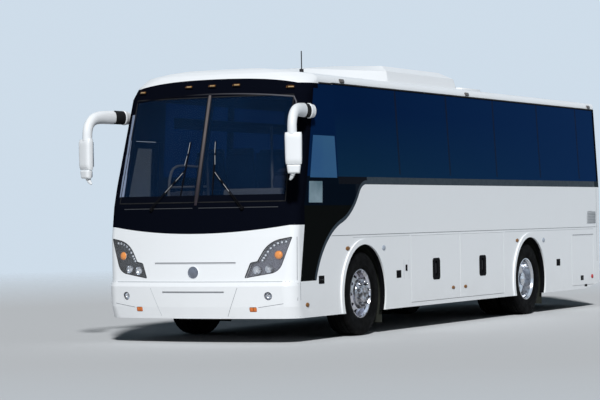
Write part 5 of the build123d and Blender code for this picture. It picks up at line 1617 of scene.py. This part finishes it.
def pad(width, depth, thick, crown, corner=0.28):
    """A crowned closed cushion about its middle: rounded outline, pulled-in sides and a stitched channel."""
    rings, around_count = 7, 36
    faces_up = [(1, ring) for ring in range(rings)]
    vertices = []
    for side, ring in faces_up + [(-side, ring) for side, ring in reversed(faces_up)]:
        t = (ring + 1) / rings
        for step in range(around_count):
            u, v = squared(2 * pi * step / around_count, 1 - (1 - corner) * t)
            x, y = u * t * depth / 2, v * t * width / 2
            dome_height = thick / 2 * (1 - t ** 4) ** 0.5 + crown * (1 - t * t)
            groove = 0.006 * max(0.0, 1 - abs(abs(y) - width * 0.27) / 0.018) * (1 - t ** 6)
            vertices.append((x, y, side * (dome_height - (groove if side > 0 else 0))))
    faces = grid_faces(2 * rings, around_count)
    for tip, start in ((1, 0), (-1, (2 * rings - 1) * around_count)):
        vertices.append((0, 0, tip * (thick / 2 + crown)))
        faces += [(start + step, start + (step + 1) % around_count, len(vertices) - 1)
                  for step in range(around_count)]
    return Shape(vertices, faces)


def lean(angle):
    return Matrix.Rotation(angle, 4, "Y")


def frame_box(front, y, base, rear_end, front_end, half, foot, top, bevel):
    """One box of a seat's frame."""
    return box_at((front - rear_end, y - half, base + foot), (front - front_end, y + half, base + top), bevel)


def add_seats():
    rows = [ahead(first_row_front - row * row_pitch) for row in range(row_count)]
    seats = [(front, side * y, floor_top, seat_width)
             for front in rows for side in (1, -1) for y in seat_places]
    driver_place = (ahead(driver_seat[0]), driver_seat[1], platform_top)
    seats.append((*driver_place, driver_seat_width))
    frames = Shape()
    for front, y, base, wide in seats:
        frames.add(frame_box(front, y, base, 0.400, 0.030, wide / 2 - 0.01, 0.345, 0.366, 0.006))
        shell = rounded_box((0.020, wide - 0.02, 0.640), 0.008)
        frames.add(shell.placed(Matrix.Translation((front - 0.532, y, base + 0.755)) @ lean(back_lean)))
    for front in rows:
        for side in (1, -1):
            for edge in armrest_places:
                frames.add(frame_box(front, side * edge, floor_top, *armrest))
                frames.add(frame_box(front, side * edge, floor_top, *armrest_post))
            frames.add(frame_box(front, side * leg_place, floor_top, *seat_leg))
    frames.add(frame_box(*driver_place, *driver_leg))
    frame_piece = add_piece("seat_frames", frames, seat_trim)
    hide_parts("seats")
    for name, share, length, thick, crown, back, height, turn in seat_pads:
        pads = Shape()
        for front, y, base, wide in seats:
            place = Matrix.Translation((front - back, y, base + height))
            pads.add(pad(wide * share, length, thick, crown).placed(place @ lean(turn)))
        piece = add_piece(name, pads, seat_cloth, sharp=60)


grab_rails = (
    # points, radius
    (((1.50, -0.62, 1.66), (1.44, -0.62, 1.98), (1.30, -0.60, 2.10), (0.80, -0.58, 2.10)), 0.017),
    (((0.62, -0.56, 1.26), (0.62, -0.56, 2.58)), 0.017),
    (((0.62, 0.34, 1.26), (0.62, 0.34, 2.58)), 0.017),
    (((0.62, -0.56, 1.86), (0.62, -1.12, 1.86)), 0.015),
    (((0.62, 0.34, 1.92), (0.62, 1.12, 1.92)), 0.015),
)
cabin_panels = (
    # corners, bevel: two low walls and the box beside the aisle
    ((0.600, -1.130, 1.245), (0.622, -0.560, 1.800), 0.006),
    ((0.600, 0.340, 1.245), (0.622, 1.130, 1.850), 0.006),
    ((1.24, -0.585, 1.690), (1.42, -0.330, 1.800), 0.020),
)
dashboard_boxes = (
    # corners, bevel: the instruments, the shelf and the hood
    ((1.44, 0.430, 1.625), (1.66, 0.970, 1.720), 0.030),
    ((1.46, -0.500, 1.645), (1.80, 0.250, 1.680), 0.012),
    ((1.545, 0.230, 1.660), (1.690, 1.010, 1.812), 0.040),
)
column_top = (1.310, 0.700, 1.660)
column_way = (-0.42, 0, 0.907)
hand_wheel_radius = 0.225
hand_wheel_grip = 0.0145


def grab_rail(points, radius):
    """A round tube through points of (metres ahead of the front axle, y, z)."""
    places = curve_through([(ahead(a), y, z) for a, y, z in points], 6)
    return bar_along([(place, Vector((0.3, 0.9, 0.2))) for place in places], oval_section(radius, radius, 12))


def hand_wheel():
    """The steering wheel's rim, three spokes and hub about the Y axis."""
    turns = [2 * pi * step / 64 for step in range(64)]
    rim = [(Vector((cos(turn), 0, sin(turn))) * hand_wheel_radius, Vector((0, 1, 0))) for turn in turns]
    wheel = bar_along(rim, oval_section(hand_wheel_grip, hand_wheel_grip, 12), closed=True)
    spoke = rounded_box((0.205, 0.012, 0.030), 0.004).placed((0.118, -0.012, 0))
    for number in range(3):
        wheel.add(spoke.placed(Matrix.Rotation(-radians(30 + 120 * number), 4, "Y")))
    return wheel.add(lathe(((-0.030, 0), (-0.030, 0.046), (-0.004, 0.046), (0.004, 0.036), (0.006, 0)), 32))


def add_cabin():
    add_piece("cabin_rails", joined(grab_rail, grab_rails), pale_trim_and_glints)
    add_piece("cabin_panels", joined(inner_box, cabin_panels), dash_grey)
    add_piece("dashboard_top", joined(inner_box, dashboard_boxes), pale_trim_and_glints)
    turn = Vector((0, 1, 0)).rotation_difference(Vector(column_way).normalized()).to_matrix().to_4x4()
    hub = Matrix.Translation((ahead(column_top[0]), *column_top[1:])) @ turn
    piece = add_piece("steering_wheel_smooth", hand_wheel().placed(hub), black_plastic, body="steering_wheel")
    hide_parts("steering_wheel")


# Stage, world and lamps
backdrop_color = (0.62, 0.72, 0.82)
floor_color = (0.60, 0.61, 0.62)
floor_reach = 60
fade_start = 9.0
fade_end = 34.0
ambient_color = (0.56, 0.80, 1)
ambient_strength = 0.065


def add_stage():
    corners = [(floor_reach * x, floor_reach * y, 0) for x, y in ((-1, -1), (1, -1), (1, 1), (-1, 1))]
    mesh = bpy.data.meshes.new("floor_plane")
    mesh.from_pydata(corners, [], [(0, 1, 2, 3)])
    floor = bpy.data.objects.new("floor_plane", mesh)
    bpy.context.scene.collection.objects.link(floor)
    made = bpy.data.materials.new("floor_plane")
    made.use_nodes = True
    tree = made.node_tree
    shader = shader_of(made)
    shader.inputs["Base Color"].default_value = (*floor_color, 1)
    shader.inputs["Roughness"].default_value = 0.95
    shader.inputs["Specular IOR Level"].default_value = 0.0
    length = tree.nodes.new("ShaderNodeVectorMath")
    length.operation = "LENGTH"
    tree.links.new(coordinates(tree), length.inputs[0])
    fade = spread(tree, length.outputs["Value"], 1.0, 0.0, fade_start, fade_end)
    tree.links.new(fade, shader.inputs["Alpha"])
    mesh.materials.append(made)


def add_world():
    world = bpy.data.worlds.new("world")
    bpy.context.scene.world = world
    world.use_nodes = True
    tree = world.node_tree
    backdrop = tree.nodes["Background"]
    backdrop.inputs["Color"].default_value = (*backdrop_color, 1)
    backdrop.inputs["Strength"].default_value = 1
    ambient = tree.nodes.new("ShaderNodeBackground")
    ambient.inputs["Color"].default_value = (*ambient_color, 1)
    ambient.inputs["Strength"].default_value = ambient_strength
    path = tree.nodes.new("ShaderNodeLightPath")
    seen = combine(tree, "MAXIMUM", path.outputs["Is Camera Ray"], path.outputs["Is Glossy Ray"])
    seen_all = combine(tree, "MAXIMUM", seen, path.outputs["Is Transmission Ray"])
    mix = tree.nodes.new("ShaderNodeMixShader")
    tree.links.new(seen_all, mix.inputs["Fac"])
    tree.links.new(ambient.outputs[0], mix.inputs[1])
    tree.links.new(backdrop.outputs[0], mix.inputs[2])
    tree.links.new(mix.outputs[0], tree.nodes["World Output"].inputs["Surface"])


sun_azimuth = radians(31)
sun_height = radians(38.5)
sun_strength = 3.76
sun_softness = radians(6)
sun_color = (0.97, 0.985, 1)


def add_lights():
    data = bpy.data.lights.new("sun", "SUN")
    data.energy = sun_strength
    data.angle = sun_softness
    data.color = sun_color
    sun = bpy.data.objects.new("sun", data)
    towards = Vector((
        cos(sun_height) * cos(sun_azimuth), cos(sun_height) * sin(sun_azimuth), sin(sun_height)))
    sun.rotation_euler = towards.to_track_quat("Z", "Y").to_euler()
    bpy.context.scene.collection.objects.link(sun)


add_camera()
finish_nodes()
add_wheels()
add_head_lamps()
add_mirrors()
add_windscreen_trim()
add_wipers()
add_side_trim()
add_flap_trim()
add_front_trim()
add_rear_trim()
add_roof_trim()
add_seats()
add_cabin()
add_stage()
add_world()
add_lights()
bpy.context.scene.view_settings.view_transform = "Standard"
